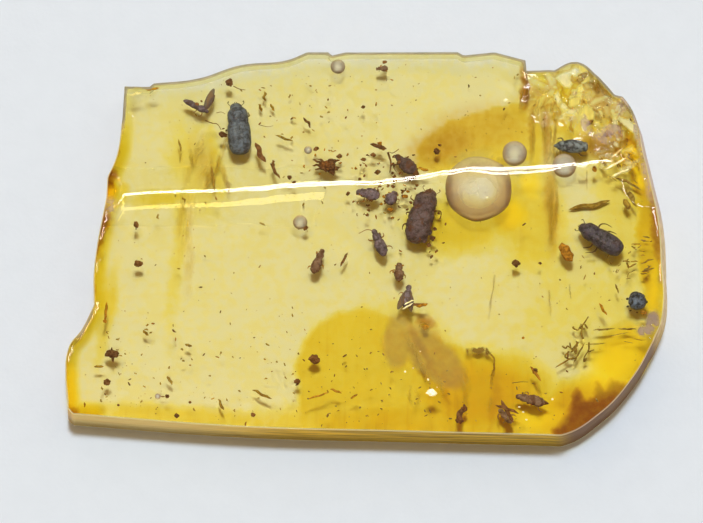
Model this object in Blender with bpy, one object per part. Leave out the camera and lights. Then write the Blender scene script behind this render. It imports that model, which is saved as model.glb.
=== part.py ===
"""A flat polished slab of clear amber with small insects sealed in pockets at its middle plane.

+X runs along the slab, +Y towards its back edge, +Z up. The origin is under the middle of the slab,
on the surface that it lies on. Places are given in millimetres and turned to metres when used.
"""
import math

import bmesh
import bpy
from mathutils import Matrix, Vector

MM = 0.001

# Slab
SLAB_THICKNESS = 2.4 * MM
PARTING_GAP = 0.1 * MM
OUTLINE_STEPS = 2
RIDGE_LEFT = (-12.4, 2.5)
RIDGE_RIGHT = (13.9, 4.45)
BACK_FALL = math.radians(0.8)
FRONT_FALL = math.radians(0.35)
END_SLOPE_START = 12.2 * MM
END_SLOPE_REACH = 2.0 * MM
END_SLOPE_WIDTH = 0.45 * MM
TOP_ZONE = 0.9

# Pockets and bubbles
POCKET_CLEARANCE = 0.12 * MM
POCKET_WALL = 0.3 * MM
POCKET_ROUNDNESS = 1.16
POCKET_HEIGHT = 1.25
POCKET_SIDES = 8
POCKET_RINGS = 6
LARGE_BUBBLE = 1.0

# Limbs
LEG_THICKNESS = 0.085 * MM
FEELER_THICKNESS = 0.06 * MM
WING_THICKNESS = 0.06 * MM
LIMB_TAPER = 0.45
WELD_DISTANCE = 0.0005 * MM
FUSE_DISTANCE = 0.002 * MM
SHARP_ANGLE = math.radians(50)

# Materials: colour and roughness
AMBER_FINISH = ((0.93, 0.78, 0.3), 0.04)
SLATE_FINISH = ((0.07, 0.08, 0.1), 0.35)
BROWN_FINISH = ((0.09, 0.05, 0.05), 0.45)
WOOD_FINISH = ((0.2, 0.07, 0.03), 0.8)
AMBER_IOR = 1.54

# Outline of the slab in millimetres, clockwise from above. A round point lies on a smooth curve.
BACK_EDGE = [
    (-12.15, 8.15, "corner"),
    (-10.9, 8.12, "corner"),
    (-10.7, 8.3, "corner"),
    (-8.5, 8.55, "round"),
    (-6.35, 9.25, "round"),
    (-4.0, 9.52, "round"),
    (-3.0, 9.93, "corner"),
    (-1.95, 9.93, "corner"),
    (-1.75, 9.76, "corner"),
    (-1.1, 9.92, "corner"),
    (4.55, 9.93, "corner"),
    (4.85, 9.76, "corner"),
    (6.4, 9.92, "corner"),
    (7.95, 9.5, "corner"),
]
BROKEN_CORNER = [
    (8.0, 8.95, "corner"),
    (9.4, 9.02, "corner"),
    (10.25, 9.46, "round"),
    (10.75, 9.42, "round"),
    (11.6, 8.65, "corner"),
    (12.45, 7.75, "corner"),
    (12.95, 7.62, "corner"),
]
RIGHT_END = [
    (13.6, 6.75, "round"),
    (14.05, 5.1, "round"),
    (14.4, 3.6, "round"),
    (14.85, 1.5, "round"),
    (15.0, -1.2, "round"),
    (14.95, -3.6, "round"),
    (14.4, -5.1, "corner"),
    (13.3, -6.95, "round"),
    (11.6, -8.8, "round"),
    (9.75, -9.9, "round"),
]
FRONT_EDGE = [
    (9.2, -9.9, "corner"),
    (1.6, -9.7, "round"),
    (-6.35, -9.46, "round"),
    (-14.7, -8.82, "corner"),
]
LEFT_END = [
    (-14.95, -8.5, "corner"),
    (-14.9, -5.35, "round"),
    (-14.25, -4.45, "round"),
    (-13.65, -3.2, "corner"),
    (-13.65, -1.3, "round"),
    (-13.05, 2.4, "corner"),
    (-13.0, 3.4, "corner"),
    (-12.55, 4.5, "round"),
    (-12.25, 6.5, "corner"),
]

# Shallow shell-shaped breaks on the top: place of the deepest point, radius of the break, depth.
BREAKS = [
    ((10.3, 8.9), 3.2, 0.3),
    ((11.9, 7.2), 2.8, 0.26),
    ((13.4, 5.9), 3.0, 0.34),
    ((9.0, 7.6), 3.4, 0.14),
    ((14.4, 3.4), 3.6, 0.3),
    ((14.6, -4.2), 2.4, 0.2),
    ((13.2, -7.4), 3.0, 0.16),
    ((-13.1, 2.7), 1.6, 0.22),
    ((-12.3, 6.2), 1.4, 0.18),
]

# Air bubbles: name, place, radius across, half height.
BUBBLES = [
    ("bubble_large", (5.6, 3.0), 1.68, 0.72),
    ("bubble_middle", (7.4, 4.82), 0.62, 0.6),
    ("bubble_right", (9.9, 4.2), 0.6, 0.58),
    ("bubble_back", (-1.45, 9.35), 0.37, 0.37),
    ("bubble_left", (-3.35, 1.27), 0.36, 0.36),
    ("bubble_front", (5.6, -5.9), 0.72, 0.5),
]

# Insects lie at the places given along X and Y. A heading is in degrees left of +Y, a lean in degrees
# about the insect's own length, and a size is its length, width and height.
# Beetles: name, place, heading, lean, size, how far the legs stand out of the body.
BEETLES = [
    ("beetle_tall", (-6.43, 6.1), 4.0, 0.0, (2.7, 1.14, 0.9), 0.12),
    ("beetle_wide", (2.72, 1.6), -15.0, 6.0, (2.7, 1.36, 0.95), 0.24),
    ("beetle_long", (11.7, 0.42), 57.0, 12.0, (2.5, 1.0, 0.85), 0.28),
    ("beetle_pointed", (10.25, 5.2), 88.0, 0.0, (1.75, 0.72, 0.62), 0.12),
]
# Insects drawn up into a ball: name, place, heading, width.
CURLED_BEETLE = ("beetle_curled", (13.52, -2.82), 25.0, 0.88)
ROUND_INSECT = ("round_insect", (1.22, 2.5), -30.0, 0.6)
# Slim insects: name, place, heading, size, length of the antenna that shows.
SLIM_INSECTS = [
    ("cluster_insect", (0.05, 2.75), 80.0, (1.2, 0.62, 0.5), 0.0),
    ("slender_insect", (0.6, 0.22), 23.0, (1.5, 0.58, 0.5), 0.75),
    ("small_insect", (1.6, -1.3), -3.0, (0.95, 0.5, 0.45), 0.0),
    ("pear_insect", (-2.45, -0.75), -22.0, (1.35, 0.55, 0.48), 0.0),
    ("front_insect", (8.15, -7.9), 75.0, (1.5, 0.62, 0.5), 0.0),
    ("edge_insect", (0.75, 9.25), 95.0, (0.6, 0.26, 0.24), 0.0),
]
# Insects with a shape of their own: place, heading.
WINGED_SEAT = ((-8.56, 7.28), -117.0)
STRIPED_SEAT = ((2.0, -2.62), -10.0)
WEDGE_SEAT = ((1.95, 4.25), 48.0)
BRANCHED_SEAT = ((6.95, -8.8), 40.0)
FRASS_SEAT = ((-1.95, 4.2), 0.0)


def clear_scene():
    for thing in list(bpy.data.objects):
        bpy.data.objects.remove(thing, do_unlink=True)


def new_collection(name):
    collection = bpy.data.collections.new(name)
    bpy.context.scene.collection.children.link(collection)
    return collection


def new_material(name, finish, transmission=0.0):
    colour, roughness = finish
    material = bpy.data.materials.new(name)
    material.use_nodes = True
    shader = material.node_tree.nodes["Principled BSDF"]
    shader.inputs["Base Color"].default_value = (*colour, 1.0)
    shader.inputs["Roughness"].default_value = roughness
    shader.inputs["Metallic"].default_value = 0.0
    shader.inputs["IOR"].default_value = AMBER_IOR
    shader.inputs["Transmission Weight"].default_value = transmission
    material.diffuse_color = (*colour, 1.0)
    return material


def new_object(name, mesh, collection):
    thing = bpy.data.objects.new(name, mesh)
    collection.objects.link(thing)
    return thing


def baked_mesh(thing):
    """The mesh of an object with its modifiers or its curve settings worked out."""
    bpy.context.view_layer.update()
    evaluated = thing.evaluated_get(bpy.context.evaluated_depsgraph_get())
    return bpy.data.meshes.new_from_object(evaluated)


def weld(mesh, distance=WELD_DISTANCE):
    """Joins the loose caps of a curve to its sides and turns every face outwards."""
    work = bmesh.new()
    work.from_mesh(mesh)
    bmesh.ops.remove_doubles(work, verts=work.verts, dist=distance)
    bmesh.ops.recalc_face_normals(work, faces=work.faces)
    work.to_mesh(mesh)
    work.free()


# Slab

def outline_curve(name, thickness):
    """The slab's outline as a flat filled curve, as thick as one half."""
    curve = bpy.data.curves.new(name, "CURVE")
    curve.dimensions = "2D"
    curve.fill_mode = "BOTH"
    curve.extrude = thickness / 2
    curve.resolution_u = OUTLINE_STEPS
    points = BACK_EDGE + BROKEN_CORNER + RIGHT_END + FRONT_EDGE + LEFT_END
    spline = curve.splines.new("BEZIER")
    spline.bezier_points.add(len(points) - 1)
    for point, (x, y, kind) in zip(spline.bezier_points, points):
        point.co = (x * MM, y * MM, 0)
        handle = "AUTO" if kind == "round" else "VECTOR"
        point.handle_left_type = handle
        point.handle_right_type = handle
    spline.use_cyclic_u = True
    return curve


def slab_half(name, low, high, parts):
    curve_object = new_object(name + "_outline", outline_curve(name, high - low), parts)
    mesh = baked_mesh(curve_object)
    curve = curve_object.data
    bpy.data.objects.remove(curve_object, do_unlink=True)
    bpy.data.curves.remove(curve)
    mesh.transform(Matrix.Translation((0, 0, (low + high) / 2)))
    weld(mesh)
    slope_right_end(mesh)
    return new_object(name, mesh, parts)


def slope_right_end(mesh):
    """The right end leans inwards as it rises, so the slab is longest on its underside."""
    for vertex in mesh.vertices:
        beyond = vertex.co.x - END_SLOPE_START
        if beyond > 0:
            share = min(1.0, beyond / END_SLOPE_REACH)
            vertex.co.x -= share * END_SLOPE_WIDTH * vertex.co.z / SLAB_THICKNESS


def fold_top(thing):
    """Gives the top its two polished faces, which meet in a low ridge and fall away from it."""
    start = Vector((*RIDGE_LEFT, 0)) * MM
    along = (Vector((*RIDGE_RIGHT, 0)) * MM - start).normalized()
    across = Vector((-along.y, along.x, 0))
    work = bmesh.new()
    work.from_mesh(thing.data)
    everything = work.verts[:] + work.edges[:] + work.faces[:]
    bmesh.ops.bisect_plane(work, geom=everything, dist=1e-8, plane_co=start, plane_no=across)
    for vertex in work.verts:
        if vertex.co.z > SLAB_THICKNESS * TOP_ZONE:
            behind = (vertex.co - start).dot(across)
            fall = BACK_FALL if behind > 0 else FRONT_FALL
            vertex.co.z -= abs(behind) * math.tan(fall)
    work.to_mesh(thing.data)
    work.free()


def as_cutter(thing):
    thing.hide_render = True
    thing.display_type = "WIRE"


def cut(thing, cutter):
    modifier = thing.modifiers.new("cut " + cutter.name, "BOOLEAN")
    modifier.operation = "DIFFERENCE"
    modifier.solver = "EXACT"
    modifier.object = cutter


def ball(name, half_sizes, segments, rings, collection):
    """A round body stretched to the given half sizes."""
    mesh = bpy.data.meshes.new(name)
    work = bmesh.new()
    bmesh.ops.create_uvsphere(work, u_segments=segments, v_segments=rings, radius=1)
    work.to_mesh(mesh)
    work.free()
    mesh.transform(Matrix.Diagonal((*half_sizes, 1)))
    return new_object(name, mesh, collection)


def break_cutters(cutters):
    """Large balls that dip into the top, each leaving one shell-shaped break."""
    made = []
    for index, ((x, y), radius, depth) in enumerate(BREAKS):
        size = radius * MM
        cutter = ball(f"break_{index}", (size, size, size), 18, 10, cutters)
        cutter.location = (x * MM, y * MM, SLAB_THICKNESS + size - depth * MM)
        as_cutter(cutter)
        made.append(cutter)
    return made


def bubble_cutters(cutters):
    made = []
    for name, (x, y), radius, half_height in BUBBLES:
        segments = 18 if radius > LARGE_BUBBLE else 10
        sizes = (radius * MM, radius * MM, half_height * MM)
        cutter = ball(name, sizes, segments, 6, cutters)
        cutter.location = (x * MM, y * MM, SLAB_THICKNESS / 2)
        as_cutter(cutter)
        made.append(cutter)
    return made


def pocket_cutter(insect, cutters):
    """A rounded pocket that clears an insect all round and keeps a wall above and below."""
    corners = [vertex.co for vertex in insect.data.vertices]
    low = Vector([min(c[i] for c in corners) for i in range(3)])
    high = Vector([max(c[i] for c in corners) for i in range(3)])
    middle = (low + high) / 2
    reach = max(
        math.hypot((c.x - middle.x) / (high.x - low.x), (c.y - middle.y) / (high.y - low.y)) * 2
        for c in corners
    )
    sizes = (high - low) / 2
    round_up = POCKET_ROUNDNESS * reach
    half_height = min(SLAB_THICKNESS / 2 - POCKET_WALL, sizes.z * POCKET_HEIGHT + POCKET_CLEARANCE)
    pocket = ball(
        "pocket_" + insect.name,
        (sizes.x * round_up + POCKET_CLEARANCE, sizes.y * round_up + POCKET_CLEARANCE, half_height),
        POCKET_SIDES,
        POCKET_RINGS,
        cutters,
    )
    pocket.matrix_world = insect.matrix_world @ Matrix.Translation(middle)
    as_cutter(pocket)
    return pocket


# Insects, each made lying along +Y with its head forward, its back up and its middle at the origin

def limb(points, thickness):
    """A leg or feeler as a thin tube through points in millimetres, tapered to its tip."""
    curve = bpy.data.curves.new("limb", "CURVE")
    curve.dimensions = "3D"
    curve.bevel_depth = thickness / 2
    curve.bevel_resolution = 0
    curve.use_fill_caps = True
    spline = curve.splines.new("POLY")
    spline.points.add(len(points) - 1)
    for index, (point, place) in enumerate(zip(spline.points, points)):
        point.co = (*[value * MM for value in place], 1)
        point.radius = 1 - LIMB_TAPER * index / (len(points) - 1)
    limb_object = new_object("limb", curve, bpy.context.scene.collection)
    mesh = baked_mesh(limb_object)
    bpy.data.objects.remove(limb_object, do_unlink=True)
    bpy.data.curves.remove(curve)
    weld(mesh)
    return new_object("limb", mesh, bpy.context.scene.collection)


def lump(centre, half_sizes, segments=10, rings=6):
    """One rounded part of a body, with its poles along Y."""
    body = ball("lump", (1, 1, 1), segments, rings, bpy.context.scene.collection)
    body.data.transform(Matrix.Rotation(math.radians(90), 4, "X"))
    body.data.transform(Matrix.Diagonal((*[size * MM for size in half_sizes], 1)))
    body.data.transform(Matrix.Translation([value * MM for value in centre]))
    return body


def wing(points, height, tilt):
    """A thin flat wing with its outline in millimetres, tilted about Y."""
    curve = bpy.data.curves.new("wing", "CURVE")
    curve.dimensions = "2D"
    curve.fill_mode = "BOTH"
    curve.extrude = WING_THICKNESS / 2
    curve.resolution_u = 2
    spline = curve.splines.new("BEZIER")
    spline.bezier_points.add(len(points) - 1)
    for point, (x, y) in zip(spline.bezier_points, points):
        point.co = (x * MM, y * MM, 0)
        point.handle_left_type = "AUTO"
        point.handle_right_type = "AUTO"
    spline.use_cyclic_u = True
    wing_object = new_object("wing", curve, bpy.context.scene.collection)
    mesh = baked_mesh(wing_object)
    bpy.data.objects.remove(wing_object, do_unlink=True)
    bpy.data.curves.remove(curve)
    weld(mesh)
    mesh.transform(Matrix.Rotation(math.radians(tilt), 4, "Y"))
    mesh.transform(Matrix.Translation((0, 0, height * MM)))
    return new_object("wing", mesh, bpy.context.scene.collection)


def fuse(name, pieces, material, parts):
    """Joins overlapping pieces into one closed body."""
    body = pieces[0]
    for piece in pieces[1:]:
        modifier = body.modifiers.new("join", "BOOLEAN")
        modifier.operation = "UNION"
        modifier.solver = "EXACT"
        modifier.object = piece
    mesh = baked_mesh(body)
    mesh.name = name
    for piece in pieces:
        bpy.data.objects.remove(piece, do_unlink=True)
    weld(mesh, FUSE_DISTANCE)
    mesh.materials.clear()
    mesh.materials.append(material)
    mesh.shade_smooth()
    mesh.set_sharp_from_angle(angle=SHARP_ANGLE)
    return new_object(name, mesh, parts)


def settle(insect, place, heading, lean=0.0):
    """Puts an insect at the slab's middle plane, turned about Z and leant about its own length."""
    x, y = place
    insect.location = (x * MM, y * MM, SLAB_THICKNESS / 2)
    insect.rotation_euler = (0, math.radians(lean), math.radians(heading))
    bpy.context.view_layer.update()


def legs(half_width, places, reach, height):
    """Three pairs of bent legs. Places are where they leave the body along Y."""
    made = []
    for side in (-1, 1):
        for index, y in enumerate(places):
            sweep = (0.22, -0.06, -0.26)[index]
            hip = (side * half_width * 0.45, y, -height * 0.45)
            knee = (side * (half_width + reach * 0.6), y + sweep * 0.6, -height * 0.35)
            foot = (side * (half_width + reach), y + sweep * 1.6, -height * 0.9)
            made.append(limb([hip, knee, foot], LEG_THICKNESS))
    return made


def feelers(y, spread, length):
    return [
        limb(
            [(side * spread * 0.4, y - 0.05, 0), (side * spread, y + length * 0.6, 0.02),
             (side * spread * 1.5, y + length, 0)],
            FEELER_THICKNESS,
        )
        for side in (-1, 1)
    ]


def beetle(name, size, reach, material, parts):
    """A cylindrical wood-boring beetle: wing cases, hooded shield, head, legs and feelers."""
    length, width, height = size
    half_width = width / 2
    half_height = height / 2
    cases = lump((0, -length * 0.14, 0), (half_width, length * 0.36, half_height), 10, 7)
    shield = lump((0, length * 0.24, 0.02), (half_width * 0.92, length * 0.2, half_height * 0.95), 10, 5)
    head = lump((0, length * 0.42, -0.06), (half_width * 0.5, length * 0.09, half_height * 0.55), 6, 4)
    pieces = [cases, shield, head]
    pieces += legs(half_width, (length * 0.2, 0, -length * 0.18), reach, half_height)
    pieces += feelers(length * 0.45, half_width * 0.5, length * 0.09)
    return fuse(name, pieces, material, parts)


def curled_beetle(name, width, material, parts):
    """A beetle drawn up into a ball, with its folded legs showing at the sides."""
    radius = width / 2
    pieces = [
        lump((0, 0, 0), (radius, radius, radius * 0.85), 10, 6),
        lump((0, radius * 0.8, -0.04), (radius * 0.55, radius * 0.35, radius * 0.5), 8, 4),
    ]
    for side in (-1, 1):
        for y in (0.12, -0.14):
            pieces.append(limb(
                [(side * radius * 0.7, y, -0.1), (side * radius * 1.14, y - 0.02, -0.06),
                 (side * radius * 1.1, y - 0.2, -0.12)],
                LEG_THICKNESS,
            ))
    return fuse(name, pieces, material, parts)


def slim_insect(name, size, antenna, material, parts):
    """A slim insect with a small head, a round thorax and an abdomen that widens towards its end."""
    length, width, height = size
    half_width = width / 2
    half_height = height / 2
    pieces = [
        lump((0, -length * 0.16, 0), (half_width, length * 0.34, half_height), 8, 5),
        lump((0, length * 0.2, 0.02), (half_width * 0.72, length * 0.18, half_height * 0.85), 6, 4),
        lump((0, length * 0.39, 0), (half_width * 0.5, length * 0.11, half_height * 0.6), 6, 4),
    ]
    for side in (-1, 1):
        pieces.append(limb(
            [(side * half_width * 0.4, length * 0.12, -half_height * 0.3),
             (side * width * 0.78, length * 0.2, -half_height * 0.5),
             (side * width * 1.02, length * 0.05, -half_height * 0.8)],
            LEG_THICKNESS,
        ))
        pieces.append(limb(
            [(side * half_width * 0.4, -length * 0.1, -half_height * 0.3),
             (side * width * 0.76, -length * 0.22, -half_height * 0.5),
             (side * width * 1.0, -length * 0.34, -half_height * 0.8)],
            LEG_THICKNESS,
        ))
    if antenna:
        pieces.append(limb(
            [(-0.04, length * 0.44, 0), (-antenna * 0.4, length * 0.56, 0.04),
             (-antenna, length * 0.55, 0)],
            FEELER_THICKNESS,
        ))
    return fuse(name, pieces, material, parts)


def open_winged_insect(name, material, parts):
    """A slender insect with its wings closed together and held out to its left, so that the two make a V."""
    pieces = [
        lump((0, -0.2, 0), (0.16, 0.5, 0.16), 8, 6),
        lump((0, 0.32, 0), (0.19, 0.24, 0.18), 8, 5),
        lump((0, 0.58, 0), (0.12, 0.12, 0.12), 6, 4),
        wing([(0.0, 0.58), (-0.4, 0.66), (-0.9, 0.53), (-1.26, 0.36), (-0.85, 0.33), (-0.3, 0.32)], 0.06, -3),
        limb([(0.08, 0.36, -0.06), (0.3, 0.44, -0.12), (0.4, 0.3, -0.18)], LEG_THICKNESS),
        limb([(0.08, 0.1, -0.05), (0.28, 0.04, -0.12), (0.34, -0.14, -0.18)], LEG_THICKNESS),
    ]
    return fuse(name, pieces, material, parts)


def folded_winged_insect(name, material, parts):
    """A small insect with its two wings folded back over the body, apart at their tips."""
    pieces = [
        lump((0, -0.05, 0), (0.24, 0.52, 0.22), 8, 6),
        lump((0, 0.5, 0), (0.15, 0.16, 0.15), 6, 4),
    ]
    for side in (-1, 1):
        outline = [(side * 0.02, 0.34), (side * 0.3, 0.0), (side * 0.42, -0.62), (side * 0.2, -0.74),
                   (side * 0.05, -0.3)]
        pieces.append(wing(outline if side > 0 else outline[::-1], 0.17, 10 * side))
    pieces.append(limb([(0.1, -0.25, 0), (0.42, -0.3, 0.02), (0.78, -0.2, 0)], LEG_THICKNESS * 1.4))
    pieces.append(limb([(-0.1, 0.1, -0.05), (-0.34, 0.24, -0.1), (-0.46, 0.1, -0.16)], LEG_THICKNESS))
    return fuse(name, pieces, material, parts)


def wedge_insect(name, material, parts):
    """An insect seen as a wedge, narrow at its head and broad at its middle, with one long leg."""
    pieces = [
        lump((0, -0.12, 0), (0.36, 0.52, 0.28), 8, 6),
        lump((0.02, 0.42, 0), (0.17, 0.3, 0.17), 8, 4),
        lump((0, -0.62, 0), (0.16, 0.24, 0.14), 6, 4),
        limb([(-0.1, 0.2, -0.05), (-0.42, 0.42, -0.08), (-0.62, 0.0, -0.12)], LEG_THICKNESS),
        limb([(0.2, -0.1, -0.05), (0.5, 0.05, -0.1), (0.55, -0.25, -0.18)], LEG_THICKNESS),
    ]
    return fuse(name, pieces, material, parts)


def branched_insect(name, material, parts):
    """A small insect with its legs stretched out like twigs."""
    pieces = [
        lump((0, 0, 0), (0.17, 0.42, 0.16), 8, 6),
        lump((0, 0.4, 0), (0.13, 0.15, 0.13), 8, 5),
    ]
    for side, y, reach in ((-1, 0.25, 0.5), (1, 0.21, 0.42), (-1, -0.1, 0.42), (1, -0.17, 0.5)):
        pieces.append(limb(
            [(side * 0.02, y, -0.01), (side * reach * 0.6, y + 0.12, -0.05),
             (side * reach, y - 0.14, -0.1)],
            LEG_THICKNESS,
        ))
    return fuse(name, pieces, material, parts)


def crumb_clump(name, material, parts):
    """A clump of wood crumbs, grown together in one rough lump with points at its left."""
    pieces = [
        lump((0, 0, 0), (0.55, 0.26, 0.24), 8, 5),
        lump((0.32, 0.06, 0.02), (0.34, 0.28, 0.22), 7, 5),
        lump((-0.34, -0.04, -0.02), (0.32, 0.22, 0.2), 7, 5),
        lump((0.02, 0.22, 0.04), (0.2, 0.16, 0.16), 6, 4),
        limb([(-0.3, 0.05, 0), (-0.6, 0.24, 0.03), (-0.76, 0.3, 0)], LEG_THICKNESS * 1.5),
        limb([(-0.3, -0.05, 0), (-0.62, -0.06, 0.02), (-0.8, -0.02, 0)], LEG_THICKNESS * 1.3),
    ]
    return fuse(name, pieces, material, parts)


def make_insects(slate, brown, wood, parts):
    """Every insect and the clump of crumbs, each put where it lies."""
    made = []
    for name, place, heading, lean, size, reach in BEETLES:
        insect = beetle(name, size, reach, slate, parts)
        settle(insect, place, heading, lean)
        made.append(insect)
    for (name, place, heading, width), material in ((CURLED_BEETLE, slate), (ROUND_INSECT, brown)):
        insect = curled_beetle(name, width, material, parts)
        settle(insect, place, heading)
        made.append(insect)
    for name, place, heading, size, antenna in SLIM_INSECTS:
        insect = slim_insect(name, size, antenna, brown, parts)
        settle(insect, place, heading)
        made.append(insect)
    shaped = [
        (open_winged_insect("winged_insect", brown, parts), WINGED_SEAT),
        (folded_winged_insect("striped_insect", brown, parts), STRIPED_SEAT),
        (wedge_insect("wedge_insect", brown, parts), WEDGE_SEAT),
        (branched_insect("branched_insect", brown, parts), BRANCHED_SEAT),
        (crumb_clump("frass_clump", wood, parts), FRASS_SEAT),
    ]
    for insect, (place, heading) in shaped:
        settle(insect, place, heading)
        made.append(insect)
    return made


def build():
    clear_scene()
    parts = new_collection("insect_in_amber")
    cutters = new_collection("pockets_and_breaks")
    amber = new_material("amber", AMBER_FINISH, 1.0)
    slate = new_material("beetle_slate", SLATE_FINISH)
    brown = new_material("insect_brown", BROWN_FINISH)
    wood = new_material("wood_crumbs", WOOD_FINISH)

    middle = SLAB_THICKNESS / 2
    upper = slab_half("amber_upper", middle + PARTING_GAP / 2, SLAB_THICKNESS, parts)
    lower = slab_half("amber_lower", 0, middle - PARTING_GAP / 2, parts)
    fold_top(upper)

    hollows = bubble_cutters(cutters)
    for insect in make_insects(slate, brown, wood, parts):
        hollows.append(pocket_cutter(insect, cutters))
    for half in (upper, lower):
        half.data.materials.append(amber)
        for hollow in hollows:
            cut(half, hollow)
    for cutter in break_cutters(cutters):
        cut(upper, cutter)


build()
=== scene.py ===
import math
import random

import bmesh
import bpy
import numpy as np
from mathutils import Matrix, Vector, kdtree, noise
from mathutils.geometry import delaunay_2d_cdt, interpolate_bezier


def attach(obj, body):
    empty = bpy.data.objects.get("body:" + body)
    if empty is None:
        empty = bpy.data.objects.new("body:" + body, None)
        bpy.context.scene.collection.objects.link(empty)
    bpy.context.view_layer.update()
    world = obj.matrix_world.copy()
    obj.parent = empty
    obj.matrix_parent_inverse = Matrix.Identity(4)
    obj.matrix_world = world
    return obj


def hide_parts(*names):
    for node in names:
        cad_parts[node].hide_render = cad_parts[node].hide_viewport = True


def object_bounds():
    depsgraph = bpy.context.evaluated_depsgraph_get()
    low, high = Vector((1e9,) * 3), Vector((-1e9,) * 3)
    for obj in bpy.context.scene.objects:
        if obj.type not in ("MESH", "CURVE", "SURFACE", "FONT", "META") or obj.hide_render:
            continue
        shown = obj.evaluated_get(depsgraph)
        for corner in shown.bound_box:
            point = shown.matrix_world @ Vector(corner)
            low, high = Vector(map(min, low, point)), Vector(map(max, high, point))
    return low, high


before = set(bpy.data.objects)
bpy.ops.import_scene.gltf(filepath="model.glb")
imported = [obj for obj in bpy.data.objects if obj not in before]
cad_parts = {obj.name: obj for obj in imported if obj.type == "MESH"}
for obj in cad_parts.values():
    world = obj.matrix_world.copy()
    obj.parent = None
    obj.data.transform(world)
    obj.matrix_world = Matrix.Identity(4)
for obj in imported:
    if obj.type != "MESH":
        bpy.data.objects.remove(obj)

mm = 0.001
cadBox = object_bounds()
slabLow, slabHigh = [corner / mm for corner in cadBox]
slabTop = slabHigh.z
slabMiddle = slabTop / 2


# Shader maths: a wire is one socket of a node, and an expression on wires adds the nodes for it
class Wire:
    def __init__(self, paint, socket):
        self.paint = paint
        self.socket = socket

    def maths(self, operation, *values):
        return self.paint.node("ShaderNodeMath", {"operation": operation}, dict(enumerate(values)))

    def __add__(self, other):
        return self.maths("ADD", self, other)

    def __radd__(self, other):
        return self.maths("ADD", other, self)

    def __sub__(self, other):
        return self.maths("SUBTRACT", self, other)

    def __rsub__(self, other):
        return self.maths("SUBTRACT", other, self)

    def __mul__(self, other):
        return self.maths("MULTIPLY", self, other)

    def __rmul__(self, other):
        return self.maths("MULTIPLY", other, self)

    def __truediv__(self, other):
        return self.maths("DIVIDE", self, other)

    def __abs__(self):
        return self.maths("ABSOLUTE", self)

    def least(self, other):
        return self.maths("MINIMUM", self, other)

    def most(self, other):
        return self.maths("MAXIMUM", self, other)

    def step(self, low, high):  # 0 up to low and 1 from high on, smooth between
        settings = {"interpolation_type": "SMOOTHSTEP", "clamp": True}
        return self.paint.node("ShaderNodeMapRange", settings, {0: self, 1: low, 2: high, 3: 0.0, 4: 1.0})

    def hump(self, rise, fall):  # 1 from the end of the rise to the start of the fall, and 0 beyond both
        return self.step(*rise) * (1 - self.step(*fall))


class Paint:  # one material and the nodes in it
    def __init__(self, name):
        self.material = bpy.data.materials.new(name)
        self.material.use_nodes = True
        self.tree = self.material.node_tree
        self.tree.nodes.clear()
        self.output = self.tree.nodes.new("ShaderNodeOutputMaterial")

    def feed(self, socket, value):
        if isinstance(value, Wire):
            self.tree.links.new(value.socket, socket)
        elif isinstance(value, (tuple, list)) and len(value) == 3 and socket.type == "RGBA":
            socket.default_value = (*value, 1.0)
        else:
            socket.default_value = value

    def node(self, kind, settings=None, sockets=None, out=0):
        new = self.tree.nodes.new(kind)
        for key, value in (settings or {}).items():
            if key == "stops":
                self.setStops(new.color_ramp, value)
            else:
                setattr(new, key, value)
        for key, value in (sockets or {}).items():
            self.feed(new.inputs[key], value)
        return Wire(self, new.outputs[out])

    def setStops(self, ramp, stops):
        while len(ramp.elements) < len(stops):
            ramp.elements.new(0.5)
        for element, (place, colour) in zip(ramp.elements, stops):
            element.position = place
            element.color = (*colour, 1.0)

    def place(self):  # where a point is, in millimetres
        seat = self.node("ShaderNodeTexCoord", out=3)
        return self.node("ShaderNodeVectorMath", {"operation": "SCALE"}, {0: seat, 3: 1 / mm})

    def axes(self, vector):
        parts = self.tree.nodes.new("ShaderNodeSeparateXYZ")
        self.feed(parts.inputs[0], vector)
        return [Wire(self, socket) for socket in parts.outputs]

    def stretch(self, vector, scale):
        return self.node("ShaderNodeVectorMath", {"operation": "MULTIPLY"}, {0: vector, 1: scale})

    def cloud(self, vector, scale, detail=3.0, roughness=0.5, distortion=0.0):
        sockets = {"Vector": vector, "Scale": scale, "Detail": detail, "Roughness": roughness}
        sockets["Distortion"] = distortion
        return self.node("ShaderNodeTexNoise", {}, sockets)

    def cells(self, vector, scale):
        return self.node("ShaderNodeTexVoronoi", {}, {"Vector": vector, "Scale": scale})

    def mark(self, name):  # a value that the mesh carries at its corners
        return self.node("ShaderNodeAttribute", {"attribute_name": name}, out=2)

    def mix(self, factor, first, second, blend="MIX"):
        settings = {"data_type": "RGBA", "clamp_factor": True, "blend_type": blend}
        return self.node("ShaderNodeMix", settings, {0: factor, 6: first, 7: second}, 2)

    def ramp(self, value, stops):
        return self.node("ShaderNodeValToRGB", {"stops": stops}, {0: value})

    def stain(self, share, absorbs):
        # the tint of a stain that swallows more light the larger its share is
        stops = [(k / 8, [math.exp(-2 * k / 8 * value) for value in absorbs]) for k in range(9)]
        return self.ramp(share, stops)

    def bump(self, height, distance, strength=1.0):
        sockets = {"Strength": strength, "Distance": distance * mm, "Height": height}
        return self.node("ShaderNodeBump", {}, sockets)

    def shader(self, sockets):
        return self.node("ShaderNodeBsdfPrincipled", {}, sockets)

    def finish(self, surface, volume=None):
        self.tree.links.new(surface.socket, self.output.inputs["Surface"])
        if volume:
            self.tree.links.new(volume.socket, self.output.inputs["Volume"])
        return self.material


def newPiece(name, mesh, material, replaced=()):
    piece = bpy.data.objects.new(name, mesh)
    bpy.context.scene.collection.objects.link(piece)
    mesh.materials.clear()
    mesh.materials.append(material)
    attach(piece, "root")
    if replaced:
        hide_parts(*replaced)
    return piece


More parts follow.
